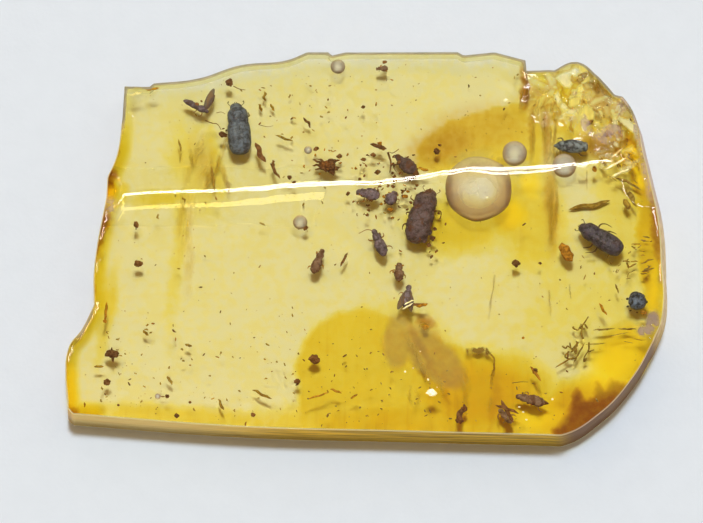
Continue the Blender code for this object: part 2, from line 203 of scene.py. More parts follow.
def skin(work, rows, closed=True, ends=False):
    # faces between rows of points, which run all the way round when closed; a row may be a single point
    for low, high in zip(rows, rows[1:]):
        count = max(len(low), len(high))
        for k in range(count if closed else count - 1):
            after = (k + 1) % count
            corners = (low[k % len(low)], low[after % len(low)], high[after % len(high)], high[k % len(high)])
            work.faces.new(list(dict.fromkeys(corners)))
    if ends:
        work.faces.new(rows[0])
        work.faces.new(rows[-1])


def meshOf(work, name):
    mesh = bpy.data.meshes.new(name)
    bmesh.ops.recalc_face_normals(work, faces=work.faces)
    work.to_mesh(mesh)
    work.free()
    mesh.shade_smooth()
    return mesh


def smooth(value, low, high):
    share = np.clip((value - low) / (high - low), 0.0, 1.0)
    return share * share * (3 - 2 * share)


def along(points, x):
    # a smooth run through (x, value) pairs, level before the first and after the last
    places, values = np.array(points).T
    before = np.clip(np.searchsorted(places, x, side="right") - 1, 0, len(places) - 2)
    share = smooth(x, places[before], places[before + 1])
    return values[before] + (values[before + 1] - values[before]) * share


# Camera and light
view = {
    "scale": 20.0,  # pixels per millimetre at the top of the slab
    "frameWide": 703,
    "elevation": 75.0,
    "distance": 1.0,  # metres, with a long lens; from much farther off, views from other sides come out empty
    "sensor": 36.0,
    "target": (-0.775, -0.98, 2.4),
    "clip": (0.01, 50.0),
}

daylight = {
    "skyFront": 0.14,  # brightness of the sky low in front and low behind
    "skyBack": 0.68,
    "skyTurn": 0.8,  # how far to the front and back the sky goes on changing
    "skyColour": (1.0, 0.77, 0.5),
    "lampDistance": 4.0,
    "keyAngle": 14.0,  # degrees behind straight above
    "keySpread": 8.0,  # how wide the lamp looks from the slab, in degrees
    "keyStrength": 0.74,  # the brightness it gives white paper
    "keyColour": (0.69, 0.846, 1.0),
    # two long thin lamps that the ridge mirrors: angle and height of each
    "lines": [(15.36, 0.5), (14.7, 0.38)],
    "lineWide": 24.0,
    "lineGlow": 45.0,
    "lineColour": (1.0, 0.98, 0.94),
}


paper = {
    "half": 0.4,  # metres
    "drop": 0.012,  # the slab touches the paper at a few points only, so light finds air under it
    "dark": (0.83, 0.845, 0.87),
    "light": (0.875, 0.89, 0.915),
    "roughness": 0.8,
}


def makeCamera():
    data = bpy.data.cameras.new("camera")
    camera = bpy.data.objects.new("camera", data)
    bpy.context.scene.collection.objects.link(camera)
    rise = math.radians(view["elevation"])
    target = Vector(view["target"]) * mm
    camera.location = target + Vector((0, -math.cos(rise), math.sin(rise))) * view["distance"]
    camera.rotation_euler = (target - camera.location).to_track_quat("-Z", "Y").to_euler()
    pixelsPerMetre = view["scale"] / mm
    data.sensor_width = view["sensor"]
    data.lens = pixelsPerMetre * view["distance"] * view["sensor"] / view["frameWide"]
    data.clip_start, data.clip_end = view["clip"]
    bpy.context.scene.camera = camera


def areaLamp(name, angle, wide, high, radiance, colour):
    # a lamp behind the slab: its angle from straight above and its size are in degrees
    data = bpy.data.lights.new(name, "AREA")
    lamp = bpy.data.objects.new(name, data)
    bpy.context.scene.collection.objects.link(lamp)
    away = daylight["lampDistance"]
    tilt = math.radians(angle)
    lamp.location = (0, away * math.sin(tilt), away * math.cos(tilt))
    lamp.rotation_euler = (-tilt, 0, 0)
    data.shape = "ELLIPSE" if wide == high else "RECTANGLE"
    data.size = 2 * away * math.tan(math.radians(wide / 2))
    data.size_y = 2 * away * math.tan(math.radians(high / 2))
    area = data.size * data.size_y * (math.pi / 4 if wide == high else 1)
    data.energy = radiance * math.pi * area
    data.color = colour
    return lamp


def makeSky():
    # a soft sky that is brightest behind the slab
    world = bpy.data.worlds.new("studio")
    world.use_nodes = True
    tree = world.node_tree
    seat = tree.nodes.new("ShaderNodeTexCoord")
    parts = tree.nodes.new("ShaderNodeSeparateXYZ")
    share = tree.nodes.new("ShaderNodeMapRange")
    share.interpolation_type = "SMOOTHSTEP"
    share.inputs["From Min"].default_value = -daylight["skyTurn"]
    share.inputs["From Max"].default_value = daylight["skyTurn"]
    share.inputs["To Min"].default_value = daylight["skyFront"]
    share.inputs["To Max"].default_value = daylight["skyBack"]
    back = tree.nodes["Background"]
    back.inputs["Color"].default_value = (*daylight["skyColour"], 1)
    tree.links.new(seat.outputs["Generated"], parts.inputs["Vector"])
    tree.links.new(parts.outputs["Y"], share.inputs["Value"])
    tree.links.new(share.outputs["Result"], back.inputs["Strength"])
    bpy.context.scene.world = world


def makeLight():
    makeSky()
    spread = daylight["keySpread"]
    solidAngle = math.pi * math.tan(math.radians(spread / 2)) ** 2
    facing = math.cos(math.radians(daylight["keyAngle"]))
    key = areaLamp("key", daylight["keyAngle"], spread, spread,
                   daylight["keyStrength"] * math.pi / (solidAngle * facing), daylight["keyColour"])
    key.visible_glossy = False
    key.visible_transmission = False
    for number, (angle, high) in enumerate(daylight["lines"]):
        line = areaLamp(f"line {number}", angle, daylight["lineWide"], high, daylight["lineGlow"],
                        daylight["lineColour"])
        line.visible_diffuse = False
    bpy.context.scene.view_settings.view_transform = "Standard"


def makeFloor():
    mesh = bpy.data.meshes.new("paper")
    work = bmesh.new()
    bmesh.ops.create_grid(work, x_segments=1, y_segments=1, size=paper["half"])
    work.to_mesh(mesh)
    work.free()
    paint = Paint("paper")
    where = paint.place()
    grain = paint.cloud(where, 0.9, 4.0)
    fibres = paint.cloud(where, 5.0, 2.0)
    colour = paint.mix(grain, paper["dark"], paper["light"])
    relief = paint.bump(grain * 0.7 + fibres * 0.3, 0.05, 0.5)
    shader = paint.shader({"Base Color": colour, "Roughness": paper["roughness"], "Normal": relief})
    mesh.materials.append(paint.finish(shader))
    floor = bpy.data.objects.new("paper", mesh)
    floor.location.z = -paper["drop"] * mm
    bpy.context.scene.collection.objects.link(floor)


makeCamera()
makeLight()
makeFloor()
print("camera, light and floor are in place")

# Slab, all in millimetres
slab = {
    "spacing": 0.14,
    "underSpacing": 0.2,
    "edgeRound": 0.06,
    "sideRows": 7,
    "sharpFrom": 60.0,  # edges that turn more than this many degrees stay sharp
    "backFall": 1.0,  # degrees that the top falls away behind the ridge
    "frontFall": 0.7,
    "ridge": [(-12.3, 2.52), (-10.45, 2.65), (-9.05, 2.7), (-7.35, 2.73), (-5.65, 2.85), (-3.9, 3.03),
              (-2.45, 3.13), (-1.05, 3.18), (0.1, 3.16), (1.65, 3.32), (2.35, 3.45), (4.1, 3.74),
              (5.15, 3.9), (6.85, 3.88), (7.8, 3.92), (9.25, 4.02), (10.55, 4.12), (11.65, 4.27)],
    "ridgeRound": [(-12.0, 0.34), (-7.0, 0.44), (-5.0, 0.66), (5.2, 0.74), (6.4, 1.25), (9.0, 1.2),
                   (10.0, 0.4)],  # how wide it is rounded, at each X
    "ridgeShift": 0.06,  # it mirrors the lamps this share of its rounding behind its top
    "nearRidge": 0.7,  # so far to each side of the ridge the mesh runs along it, in this many rows a side
    "ridgeRows": 12,
    "ridgeMiddle": 3.3,
    "edgeGap": 0.15,
    "shiny": (-2.4, 1.3, 4.3),  # the underside mirrors only left of the first, between the other two
    "shinyEdge": 0.03,
    "shinyAstray": 2.4,
    "dull": 0.4,  # how rough it is elsewhere
    "endSlopeStart": 12.2,
    "endSlopeReach": 2.0,
    "endSlopeWide": [(-6.0, 0.08), (-4.3, 0.14), (-2.8, 0.2), (-0.2, 0.28), (3.0, 0.34)],  # at each Y
    "underShift": 0.42,  # how far back the underside looks, seen through the slab from the front
    "absorbColour": (0.95, 0.83, 0.18),
    "absorbDensity": 300.0,
    "goldStain": (0.12, 0.45, 4.4),  # what the deeper yellow zones swallow of red, green and blue
    "umberStain": (0.95, 2.0, 3.9),
    "strongest": 1.35,  # the largest share that a stain can have
    "giltGlow": (0.16, 0.12, 0.0),  # painted glow: light that the slab gathers and lets out at its yellowest edges
    "wallGlow": (0.17, 0.095, 0.005),  # painted glow: light that comes through the frosted front side
    "ior": 1.54,
}

# the splintered corner is made of long flat shards
splinterCorner = {
    "seed": 5,
    "count": 140,
    "deep": 0.11,
    "bend": 0.9,  # size of the bends that the shards follow
    "spacing": 0.085,  # the mesh is this much finer here
    "fromX": (7.9, 14.6),
    "fromY": (2.6, 10.0),
    "turns": (-60, -35, 40),  # degrees, from which each strays this much
    "stray": 20,
    "long": (1.4, 2.6),
    "wide": (0.5, 0.8),
    "tilt": 0.8,
}

# the outline at its widest, clockwise from above; c is a corner, r a round point
outline = [
    (-12.15, 8.15, "c"), (-10.9, 8.12, "c"), (-10.7, 8.3, "c"), (-8.5, 8.55, "r"), (-6.35, 9.25, "r"),
    (-4.0, 9.52, "r"), (-3.0, 9.93, "c"), (-1.95, 9.93, "c"), (-1.75, 9.76, "c"), (-1.1, 9.92, "c"),
    (4.55, 9.93, "c"), (4.85, 9.76, "c"), (6.4, 9.92, "c"), (7.95, 9.5, "c"), (8.0, 8.95, "c"),
    (9.4, 9.02, "c"), (10.25, 9.46, "r"), (10.75, 9.42, "r"), (11.6, 8.65, "c"), (12.45, 7.75, "c"),
    (12.95, 7.62, "c"), (13.6, 6.75, "r"), (14.05, 5.1, "r"), (14.4, 3.6, "r"), (14.85, 1.5, "r"),
    (15.0, -1.2, "r"), (14.95, -3.6, "r"), (14.4, -5.1, "c"), (13.3, -6.95, "r"), (11.6, -8.8, "r"),
    (9.75, -9.9, "r"), (9.2, -9.9, "c"), (1.6, -9.7, "r"), (-6.35, -9.46, "r"), (-14.7, -8.82, "c"),
    (-14.95, -8.5, "c"), (-14.9, -5.35, "r"), (-14.25, -4.45, "r"), (-13.65, -3.2, "c"),
    (-13.65, -1.3, "r"), (-13.05, 2.4, "c"), (-13.0, 3.4, "c"), (-12.55, 4.5, "r"), (-12.25, 6.5, "c"),
]

# shell-shaped breaks on the top: the deepest point, the radius of the shell, the depth
breaks = [
    ((10.3, 8.9), 3.2, 0.3), ((11.9, 7.2), 2.8, 0.26), ((13.4, 5.9), 3.0, 0.34),
    ((9.0, 7.6), 3.4, 0.14), ((14.4, 3.4), 3.6, 0.3), ((14.6, -4.2), 2.4, 0.2),
    ((13.2, -7.4), 3.0, 0.16), ((-13.1, 2.7), 1.6, 0.22), ((-12.3, 6.2), 1.4, 0.18),
    ((-13.6, -0.4), 1.2, 0.12), ((-14.6, -6.6), 1.3, 0.1), ((-11.3, 8.2), 1.0, 0.12),
]

# air bubbles: place, radius across, half height, height of the middle, how milky the wall is
bubbles = [
    ((5.6, 3.0), 1.68, 0.72, 1.2, 0.5), ((7.4, 4.82), 0.62, 0.6, 1.2, 0.75),
    ((9.9, 4.2), 0.6, 0.58, 1.2, 0.75), ((-1.45, 9.35), 0.37, 0.37, 1.2, 0.7),
    ((-3.35, 1.27), 0.36, 0.36, 1.2, 0.75), ((-2.95, 4.95), 0.2, 0.2, 1.5, 0.75),
    ((-10.45, -7.85), 0.15, 0.15, 1.9, 0.65),
]

# zones, each an oval: centre, radii, turn in degrees, softness and strength. Golden and umber stain the
# resin deep down, and gilt is a frosted yellow with a painted glow there. The others lie on the top: haze is
# chipped and dull, veil cloudy and crinkle splintered
zones = {
    "golden": [
        ((5.6, -7.9), (3.2, 1.9), 0, 0.6, 1.1), ((3.2, -9.3), (7.0, 1.1), 0, 0.6, 0.75),
        ((8.2, 1.2), (1.6, 2.6), 12, 0.6, 0.35), ((4.6, 0.9), (2.2, 1.3), 0, 0.6, 0.5),
        ((9.6, 6.4), (2.0, 1.6), -20, 0.5, 0.2),
        ((-12.7, 2.6), (0.6, 0.7), 0, 0.6, 0.5), ((-10.2, 2.3), (1.6, 0.35), 4, 0.7, 0.35),
        ((-8.6, 3.8), (1.1, 1.9), 15, 0.9, 0.24), ((13.45, 3.6), (0.55, 1.9), 12, 0.5, 1.3),
        ((14.1, -0.6), (0.5, 4.2), 4, 0.5, 0.8), ((13.1, -5.9), (1.5, 1.5), 35, 0.6, 0.9),
        ((14.0, 1.2), (0.3, 2.2), 5, 0.5, 0.5),
        ((10.4, -8.6), (2.4, 1.2), 25, 0.6, 1.15), ((12.9, 2.2), (1.2, 4.5), 8, 0.8, 0.22),
        ((-9.4, 0.3), (0.3, 4.2), -6, 0.95, 0.2), ((-9.0, -9.0), (5.0, 0.5), -4, 0.7, 0.35),
        ((-7.7, 4.2), (0.4, 1.6), 10, 0.8, 0.3), ((2.0, -5.3), (3.0, 1.8), -30, 0.4, 0.2),
        ((8.4, 5.2), (0.5, 1.4), 0, 0.7, 0.4), ((10.9, -3.2), (3.4, 3.4), 0, 0.9, 0.14),
        ((7.0, 1.4), (1.1, 0.9), 20, 0.7, 0.7), ((-13.0, -3.6), (0.3, 2.2), -10, 0.7, 0.3),
        ((11.0, 5.5), (2.4, 1.0), -10, 0.7, 0.3),
    ],
    "umber": [
        ((14.45, 0.9), (0.16, 2.6), 6, 0.6, 0.5), ((-13.2, 0.9), (0.16, 1.0), -15, 0.5, 0.7),
        ((-12.8, 3.3), (0.3, 0.45), 0, 0.6, 0.7), ((-14.85, -8.75), (0.3, 0.25), 0, 0.6, 0.8),
        ((12.5, 5.3), (0.7, 0.5), -20, 0.6, 0.25), ((11.6, 4.9), (0.9, 0.5), -15, 0.7, 0.3),
        ((9.2, 2.0), (0.25, 1.9), 2, 0.9, 0.22), ((7.95, 8.1), (0.12, 1.1), 2, 0.6, 0.7),
        ((-12.4, 6.1), (0.2, 0.4), 0, 0.6, 0.5), ((2.75, -5.6), (1.6, 0.22), -60, 0.6, 0.5),
        ((2.9, -4.15), (0.4, 0.35), 0, 0.6, 0.5), ((1.5, -5.1), (0.66, 1.35), 0, 0.2, 0.2),
        ((3.35, -5.95), (2.0, 0.95), -46, 0.2, 0.24), ((3.9, 5.1), (1.7, 0.9), 25, 0.7, 0.24),
        ((5.6, 5.9), (2.6, 1.2), 10, 0.6, 0.12), ((9.0, 5.9), (0.16, 1.7), 0, 0.8, 0.28),
        ((8.3, 6.4), (0.1, 1.3), -3, 0.8, 0.25), ((-8.2, 3.9), (0.5, 1.3), 15, 0.9, 0.1),
        ((4.0, -7.9), (0.12, 1.2), 4, 0.9, 0.14), ((6.4, -8.3), (0.18, 1.3), -6, 0.9, 0.16),
    ],
    "haze": [
        ((11.05, 6.1), (0.22, 0.55), 10, 0.4, 0.6), ((12.35, 5.85), (0.6, 0.3), -15, 0.4, 0.6),
        ((14.15, 4.5), (0.26, 2.3), 10, 0.5, 0.6), ((14.4, -4.0), (0.42, 0.45), 0, 0.25, 0.95),
        ((14.0, -4.55), (0.4, 0.28), 0, 0.3, 0.95), ((-12.85, 1.85), (0.3, 0.5), 0, 0.5, 0.5),
        ((12.9, 7.2), (0.4, 0.6), -30, 0.5, 0.4), ((11.8, 5.45), (0.5, 0.35), -15, 0.5, 0.5),
        ((7.7, 3.65), (1.0, 0.16), 4, 0.6, 0.45),
    ],
    "veil": [
        ((1.5, -5.1), (0.66, 1.35), 0, 0.25, 0.3), ((3.35, -5.95), (2.1, 0.98), -46, 0.25, 0.3),
        ((5.2, 4.4), (1.1, 0.38), 12, 0.6, 0.35), ((-11.6, 7.5), (0.35, 0.5), -20, 0.7, 0.4),
    ],
    "crinkle": [((11.1, 8.1), (2.8, 2.2), 0, 0.35, 1.0), ((13.0, 6.0), (1.4, 1.6), 15, 0.4, 1.0)],
    "gilt": [
        ((-12.75, 2.6), (0.3, 0.45), 0, 0.5, 0.8), ((-14.75, -7.6), (0.2, 1.0), 0, 0.7, 0.6),
        ((13.5, 3.7), (0.36, 1.1), 15, 0.5, 0.9),
        ((12.4, -6.3), (1.7, 0.9), 42, 0.7, 0.75), ((8.6, -9.0), (1.1, 0.6), 0, 0.7, 0.6),
        ((8.2, 3.0), (0.5, 0.6), 0, 0.6, 0.6), ((7.35, 1.6), (0.5, 0.7), 20, 0.7, 0.6),
        ((14.3, -2.4), (0.22, 1.2), -5, 0.6, 0.6),
    ],
}

# zones with an outline of their own: its points, softness and strength
sheets = {
    "golden": [
        ([(-3.35, -9.5), (-3.4, -7.1), (-3.65, -6.5), (-3.35, -5.3), (-2.7, -4.4), (-1.4, -3.6),
          (-0.2, -3.4), (1.05, -3.75), (2.0, -4.5), (3.6, -4.9), (5.0, -5.6), (6.6, -6.2), (7.2, -7.4),
          (8.2, -8.2), (9.6, -8.7), (10.6, -9.4), (9.0, -9.9), (1.6, -9.8)], 0.22, 0.5),
        ([(2.5, 3.7), (2.55, 5.05), (3.15, 5.5), (4.1, 6.2), (5.45, 6.7), (6.6, 7.15), (7.4, 7.2),
          (8.05, 7.2), (8.1, 4.3), (6.8, 4.0), (4.1, 3.7)], 0.1, 0.36),
        ([(8.05, 8.9), (8.05, 4.2), (10.2, 4.4), (13.3, 3.6), (14.3, 3.0), (13.9, 6.0), (11.6, 8.5)],
         0.3, 0.1),
    ],
    "umber": [
        ([(9.3, -9.8), (9.65, -9.18), (10.05, -8.77), (10.25, -8.04), (10.5, -7.53), (10.8, -8.25),
          (11.25, -7.94), (11.55, -7.16), (11.85, -7.63), (12.25, -7.11), (12.75, -7.37), (13.25, -6.85),
          (13.65, -6.4), (13.5, -7.2), (12.75, -8.0), (11.75, -8.8), (11.0, -9.4), (10.4, -9.8),
          (9.65, -10.1)], 0.13, 0.74),
    ],
}


def outlineLoop(points, spacing):
    # the outline by the rules of a Blender curve's own handles, as evenly spaced points
    curve = bpy.data.curves.new("outline", "CURVE")
    curve.dimensions = "2D"
    spline = curve.splines.new("BEZIER")
    spline.bezier_points.add(len(points) - 1)
    spline.use_cyclic_u = True
    knots = list(spline.bezier_points)
    for knot, (x, y, kind) in zip(knots, points):
        knot.co = (x, y, 0)
        knot.handle_left_type = knot.handle_right_type = "AUTO" if kind == "r" else "VECTOR"
    fine = []
    for here, after in zip(knots, knots[1:] + knots[:1]):
        arc = interpolate_bezier(here.co, here.handle_right, after.handle_left, after.co, 25)
        fine += [point.to_2d() for point in arc[:-1]]
    bpy.data.curves.remove(curve)
    lengths = [0.0]
    for here, after in zip(fine, fine[1:] + fine[:1]):
        lengths.append(lengths[-1] + (after - here).length)
    count = round(lengths[-1] / spacing)
    even = []
    at = 0
    for index in range(count):
        goal = lengths[-1] * index / count
        while lengths[at + 1] < goal:
            at += 1
        share = (goal - lengths[at]) / (lengths[at + 1] - lengths[at])
        point = fine[at].lerp(fine[(at + 1) % len(fine)], share)
        point.x = min(max(point.x, slabLow.x), slabHigh.x)
        point.y = min(max(point.y, slabLow.y), slabHigh.y)
        even.append(point)
    return even


def insetLoop(loop, distance):
    # the loop runs clockwise from above, so its inside lies to the right of its way
    moved = []
    for before, here, after in zip(loop[-1:] + loop[:-1], loop, loop[1:] + loop[:1]):
        way = (after - before).normalized()
        moved.append(here + Vector((way.y, -way.x)) * distance)
    return moved


def crossings(loop, y):
    found = []
    for here, after in zip(loop, loop[1:] + loop[:1]):
        if (here.y > y) != (after.y > y):
            found.append(here.x + (after.x - here.x) * (y - here.y) / (after.y - here.y))
    found.sort()
    return list(zip(found[::2], found[1::2]))


def gridInside(loop, spacing):
    # staggered rows of points inside the loop
    points = []
    low = min(point.y for point in loop)
    high = max(point.y for point in loop)
    for row in range(1, int((high - low) / (spacing * 0.866))):
        y = low + row * spacing * 0.866
        for left, right in crossings(loop, y):
            start = math.ceil(left / spacing) * spacing + (spacing / 2 if row % 2 else 0)
            points += [Vector((x, y)) for x in np.arange(start, right, spacing)]
    return points


def wandering(x, y, seed, size, deep):
    # smooth random numbers, one for each point
    return np.array([noise.noise(Vector((a, b, seed)) / size) for a, b in zip(x, y)]) * deep


def zoneShares(kind, x, y):
    share = np.zeros_like(x)
    for (middleX, middleY), (wide, high), turn, soft, strength in zones[kind]:
        across, up = x - middleX, y - middleY
        cosine, sine = math.cos(math.radians(turn)), math.sin(math.radians(turn))
        apart = np.hypot((across * cosine + up * sine) / wide, (up * cosine - across * sine) / high)
        share = np.maximum(share, strength * (1 - smooth(apart, 1 - soft, 1 + soft)))
    return share


def sheetShares(kind, x, y):
    # 1 inside a sheet's outline and 0 outside, soft across its edge
    share = np.zeros_like(x)
    for points, soft, strength in sheets[kind]:
        nearest = np.full_like(x, 1e9)
        inside = np.zeros(x.shape, bool)
        for (x0, y0), (x1, y1) in zip(points, points[1:] + points[:1]):
            wayX, wayY = x1 - x0, y1 - y0
            offX, offY = x - x0, y - y0
            at = np.clip((offX * wayX + offY * wayY) / (wayX**2 + wayY**2), 0, 1)
            nearest = np.minimum(nearest, np.hypot(offX - wayX * at, offY - wayY * at))
            if wayY:
                inside ^= ((y0 > y) != (y1 > y)) & (x < x0 + wayX * offY / wayY)
        reach = np.where(inside, nearest, -nearest)
        share = np.maximum(share, strength * smooth(reach, -soft, soft))
    return share


def ridgeY(x):
    return along(slab["ridge"], x) - slab["ridgeShift"] * along(slab["ridgeRound"], x)


def shards(x, y):
    # how deep each point lies on its shard, the shard's shade and how near the crack beside it is
    own = splinterCorner
    stray = own["stray"]
    pick = random.Random(own["seed"])
    nearest, second = np.full_like(x, 9.0), np.full_like(x, 9.0)
    depth, shade = np.zeros_like(x), np.zeros_like(x)
    for _ in range(own["count"]):
        seat = Vector((pick.uniform(*own["fromX"]), pick.uniform(*own["fromY"]), 0.0))
        turn = math.radians(pick.choice(own["turns"]) + pick.uniform(-stray, stray))
        long, wide = pick.uniform(*own["long"]), pick.uniform(*own["wide"])
        level = noise.noise(seat / own["bend"]) + 0.5
        tilt = Vector((pick.uniform(-1, 1), pick.uniform(-1, 1)))
        tone = pick.random()
        offX, offY = x - seat.x, y - seat.y
        across = offY * math.cos(turn) - offX * math.sin(turn)
        apart = np.hypot((offX * math.cos(turn) + offY * math.sin(turn)) / long, across / wide)
        first = apart < nearest
        second = np.where(first, nearest, np.minimum(second, apart))
        nearest = np.where(first, apart, nearest)
        depth = np.where(first, np.clip(level + (offX * tilt.x + offY * tilt.y) * own["tilt"], 0, 1), depth)
        shade = np.where(first, tone, shade)
    return depth, shade, 1 - smooth(second - nearest, 0.02, 0.2)


def topHeights(x, y):
    # the polished top: two faces that meet in a low rounded ridge, and shell-shaped breaks
    behind = y - ridgeY(x)
    backFall = math.tan(math.radians(slab["backFall"]))
    frontFall = math.tan(math.radians(slab["frontFall"]))
    fall = np.where(behind > 0, backFall, frontFall)
    curve = (backFall + frontFall) / along(slab["ridgeRound"], x)
    reach = fall / curve
    beyond = np.maximum(0, abs(behind) - reach)
    height = slabTop - curve * np.minimum(abs(behind), reach) ** 2 / 2 - fall * beyond
    for (middleX, middleY), radius, depth in breaks:
        apart = np.minimum(np.hypot(x - middleX, y - middleY), radius)
        height = np.minimum(height, slabTop + radius - depth - np.sqrt(radius**2 - apart**2))
    return height - zoneShares("crinkle", x, y) * splinterCorner["deep"] * shards(x, y)[0]


def endSlope(x, y, z):
    # the right end leans inwards as it rises
    share = min(1.0, max(0.0, x - slab["endSlopeStart"]) / slab["endSlopeReach"])
    lean = share * float(along(slab["endSlopeWide"], y)) * z / slabTop if share else 0.0
    return Vector((x - lean, y, z))


def addBubbles(work, marks):
    # closed hollows inside the slab, their faces turned inwards
    for (x, y), radius, halfHeight, z, milky in bubbles:
        middle = Vector((x, y, z))
        sizes = Matrix.Diagonal((radius * mm, radius * mm, halfHeight * mm, 1))
        seat = Matrix.Translation(middle * mm) @ sizes
        around = 72 if radius > 1 else 40
        made = bmesh.ops.create_uvsphere(
            work, u_segments=around, v_segments=around // 2, radius=1, matrix=seat)
        for vertex in made["verts"]:
            spot = vertex.co / mm
            out = math.hypot(spot.x - x, spot.y - y) / radius
            dent = noise.noise(spot * 0.9) * 0.05 + noise.noise(spot * 2.5) * 0.012
            vertex.co += (vertex.co - middle * mm) * dent
            vertex[marks["bubble"]] = 1.0
            vertex[marks["milky"]] = milky
            vertex[marks["ring"]] = out
            vertex[marks["near"]] = (y - spot.y) / radius
            vertex[marks["inland"]] = 2.0
        faces = {face for vertex in made["verts"] for face in vertex.link_faces}
        bmesh.ops.reverse_faces(work, faces=list(faces))


def slabMesh():
    spacing = slab["spacing"]
    soft = slab["edgeRound"]
    edge = outlineLoop(outline, spacing)
    inner = insetLoop(edge, soft)
    inset = insetLoop(edge, soft + spacing * 0.6)
    count, reach = slab["ridgeRows"], slab["nearRidge"]
    fineRows = []
    for left, right in crossings(inset, slab["ridgeMiddle"]):
        x = np.arange(left + slab["edgeGap"], right - slab["edgeGap"], spacing * 0.8)
        for row in range(-count, count + 1):
            y = ridgeY(x) + reach * 0.94 * row / count
            fineRows += [Vector(point) for point in zip(x, y)]

    def fill(pointSpacing, amongShards):
        # points off the ridge, either all among the shards or none of them
        points = gridInside(inset, pointSpacing)
        x, y = np.array(points).T
        wanted = ((zoneShares("crinkle", x, y) > 0.3) == amongShards) & (abs(y - ridgeY(x)) > reach)
        return [point for point, keep in zip(points, wanted) if keep]

    topPoints = inner + fill(spacing, False) + fineRows + fill(splinterCorner["spacing"], True)
    lowPoints = edge + gridInside(insetLoop(edge, slab["edgeGap"]), slab["underSpacing"])
    ring = [(k, (k + 1) % len(edge)) for k in range(len(edge))]
    nearest = kdtree.KDTree(len(edge))
    for k, point in enumerate(edge):
        nearest.insert(point.to_3d(), k)
    nearest.balance()
    work = bmesh.new()
    names = ["inland", "down", "golden", "umber", "gilt", "haze", "veil", "crinkle", "fold", "crack"]
    names += ["bubble", "milky", "ring", "near"]
    marks = {name: work.verts.layers.float.new(name) for name in names}

    def addSheet(points, isTop):
        corners, _, faces = delaunay_2d_cdt(points, ring, [], 1, 1e-6)[:3]
        x, y = np.array([c.x for c in corners]), np.array([c.y for c in corners])
        heights = topHeights(x, y) if isTop else np.zeros_like(x)
        made = [work.verts.new(endSlope(*spot) * mm) for spot in zip(x, y, heights)]
        for face in faces:
            work.faces.new([made[k] for k in (face if isTop else reversed(face))])
        values = {"down": np.full_like(x, 0.0 if isTop else 1.0), "inland": np.full_like(x, 2.0)}
        values["fold"], values["crack"] = shards(x, y if isTop else y - slab["underShift"])[1:]
        warpX = x + wandering(x, y, 2.0, 0.8, 0.16) + wandering(x, y, 5.0, 0.25, 0.06)
        warpY = y + wandering(x, y, 8.0, 0.8, 0.16) + wandering(x, y, 11.0, 0.25, 0.06)
        if isTop:
            values["inland"] = np.array([min(nearest.find((*spot, 0))[2], 2.0) for spot in zip(x, y)])
            for kind in ("haze", "veil", "crinkle"):
                values[kind] = zoneShares(kind, warpX, warpY)
        else:
            warpY -= slab["underShift"]
            for kind in ("golden", "umber", "gilt", "crinkle"):
                values[kind] = zoneShares(kind, warpX, warpY)
                if kind in sheets:
                    values[kind] = np.maximum(values[kind], sheetShares(kind, warpX, warpY))
        for name, numbers in values.items():
            layer = marks[name]
            for vertex, number in zip(made, numbers):
                vertex[layer] = number
        return made[:len(edge)]

    def addRow(places, heights, down):
        row = [work.verts.new(endSlope(*place, z) * mm) for place, z in zip(places, heights)]
        for vertex in row:
            vertex[marks["down"]] = down
        return row

    rows = [addSheet(topPoints, True)]
    tops = topHeights(np.array([p.x for p in inner]), np.array([p.y for p in inner]))
    for turn in (0.45, 1.0):
        bow = math.sin(turn * math.pi / 2)
        drop = soft * (1 - math.cos(turn * math.pi / 2))
        rows.append(addRow([i.lerp(e, bow) for i, e in zip(inner, edge)], tops - drop, 0.0))
    for k in range(1, slab["sideRows"]):
        share = k / slab["sideRows"]
        rows.append(addRow(edge, (tops - soft) * (1 - share), share))
    rows.append(addSheet(lowPoints, False))
    skin(work, rows)
    addBubbles(work, marks)
    mesh = bpy.data.meshes.new("amber")
    work.to_mesh(mesh)
    work.free()
    mesh.shade_smooth()
    mesh.set_sharp_from_angle(angle=math.radians(slab["sharpFrom"]))
    return mesh


# colours where the surface is frosted or chipped, some of them painted shade and highlights; two where it is
# mottled
frost = {
    "olive": ((0.38, 0.21, 0.01), (0.95, 0.6, 0.04)),
    "tan": ((0.85, 0.6, 0.2), (1.0, 0.83, 0.4)),
    # painted shade on the lower part of the front wall
    "shadedLowWall": (0.4, 0.26, 0.07),
    # painted shade: the wall of the lower right curve, dark brown as in shade
    "shadedBrownEnd": ((0.17, 0.075, 0.03), (0.36, 0.19, 0.1)),
    "goldenEnd": ((0.75, 0.5, 0.12), (0.95, 0.7, 0.35)),
    "pinkEnd": (0.66, 0.47, 0.36),
    "leftEnd": (0.62, 0.38, 0.12),
    # painted highlight lines on the top edge: pale gold, and pale pink on the lower right curve
    "frontRimHighlights": ((1.0, 0.9, 0.5), (0.85, 0.62, 0.42)),
    "backRim": ((0.26, 0.22, 0.14), (0.42, 0.35, 0.25)),
    "gilt": (1.0, 0.8, 0.04),
    # frosted chips in the splintered corner, painted cream as highlights and gold between
    "flakeHighlights": ((1.0, 0.89, 0.45), (1.0, 0.79, 0.17)),
    "chipped": ((0.3, 0.19, 0.13), (0.44, 0.31, 0.24)),
    "chippedBehind": (0.6, 0.43, 0.33),
    "veil": (0.58, 0.46, 0.11),
}

# the bubbles' walls: a milky frosted wall with speckles, and painted shade and light on it
bubbleColours = {
    "rings": [  # from the middle out, painted shade and light: a pale middle, a darker ring, a bright golden rim and a dark edge
        (0.0, (0.84, 0.76, 0.62)), (0.35, (0.8, 0.68, 0.54)), (0.55, (0.62, 0.43, 0.29)),
        (0.83, (0.5, 0.3, 0.17)), (0.9, (0.85, 0.62, 0.34)), (0.96, (0.4, 0.24, 0.12)),
    ],
    # painted light: the back of each bubble paler
    "behind": (0.92, 0.76, 0.5),
    "milky": ((0.9, 0.86, 0.8), (0.66, 0.52, 0.46)),
    # painted highlight at the front of the milky bubbles
    "shine": (1.0, 0.98, 0.94),
    "speckle": (0.5, 0.36, 0.34),
}


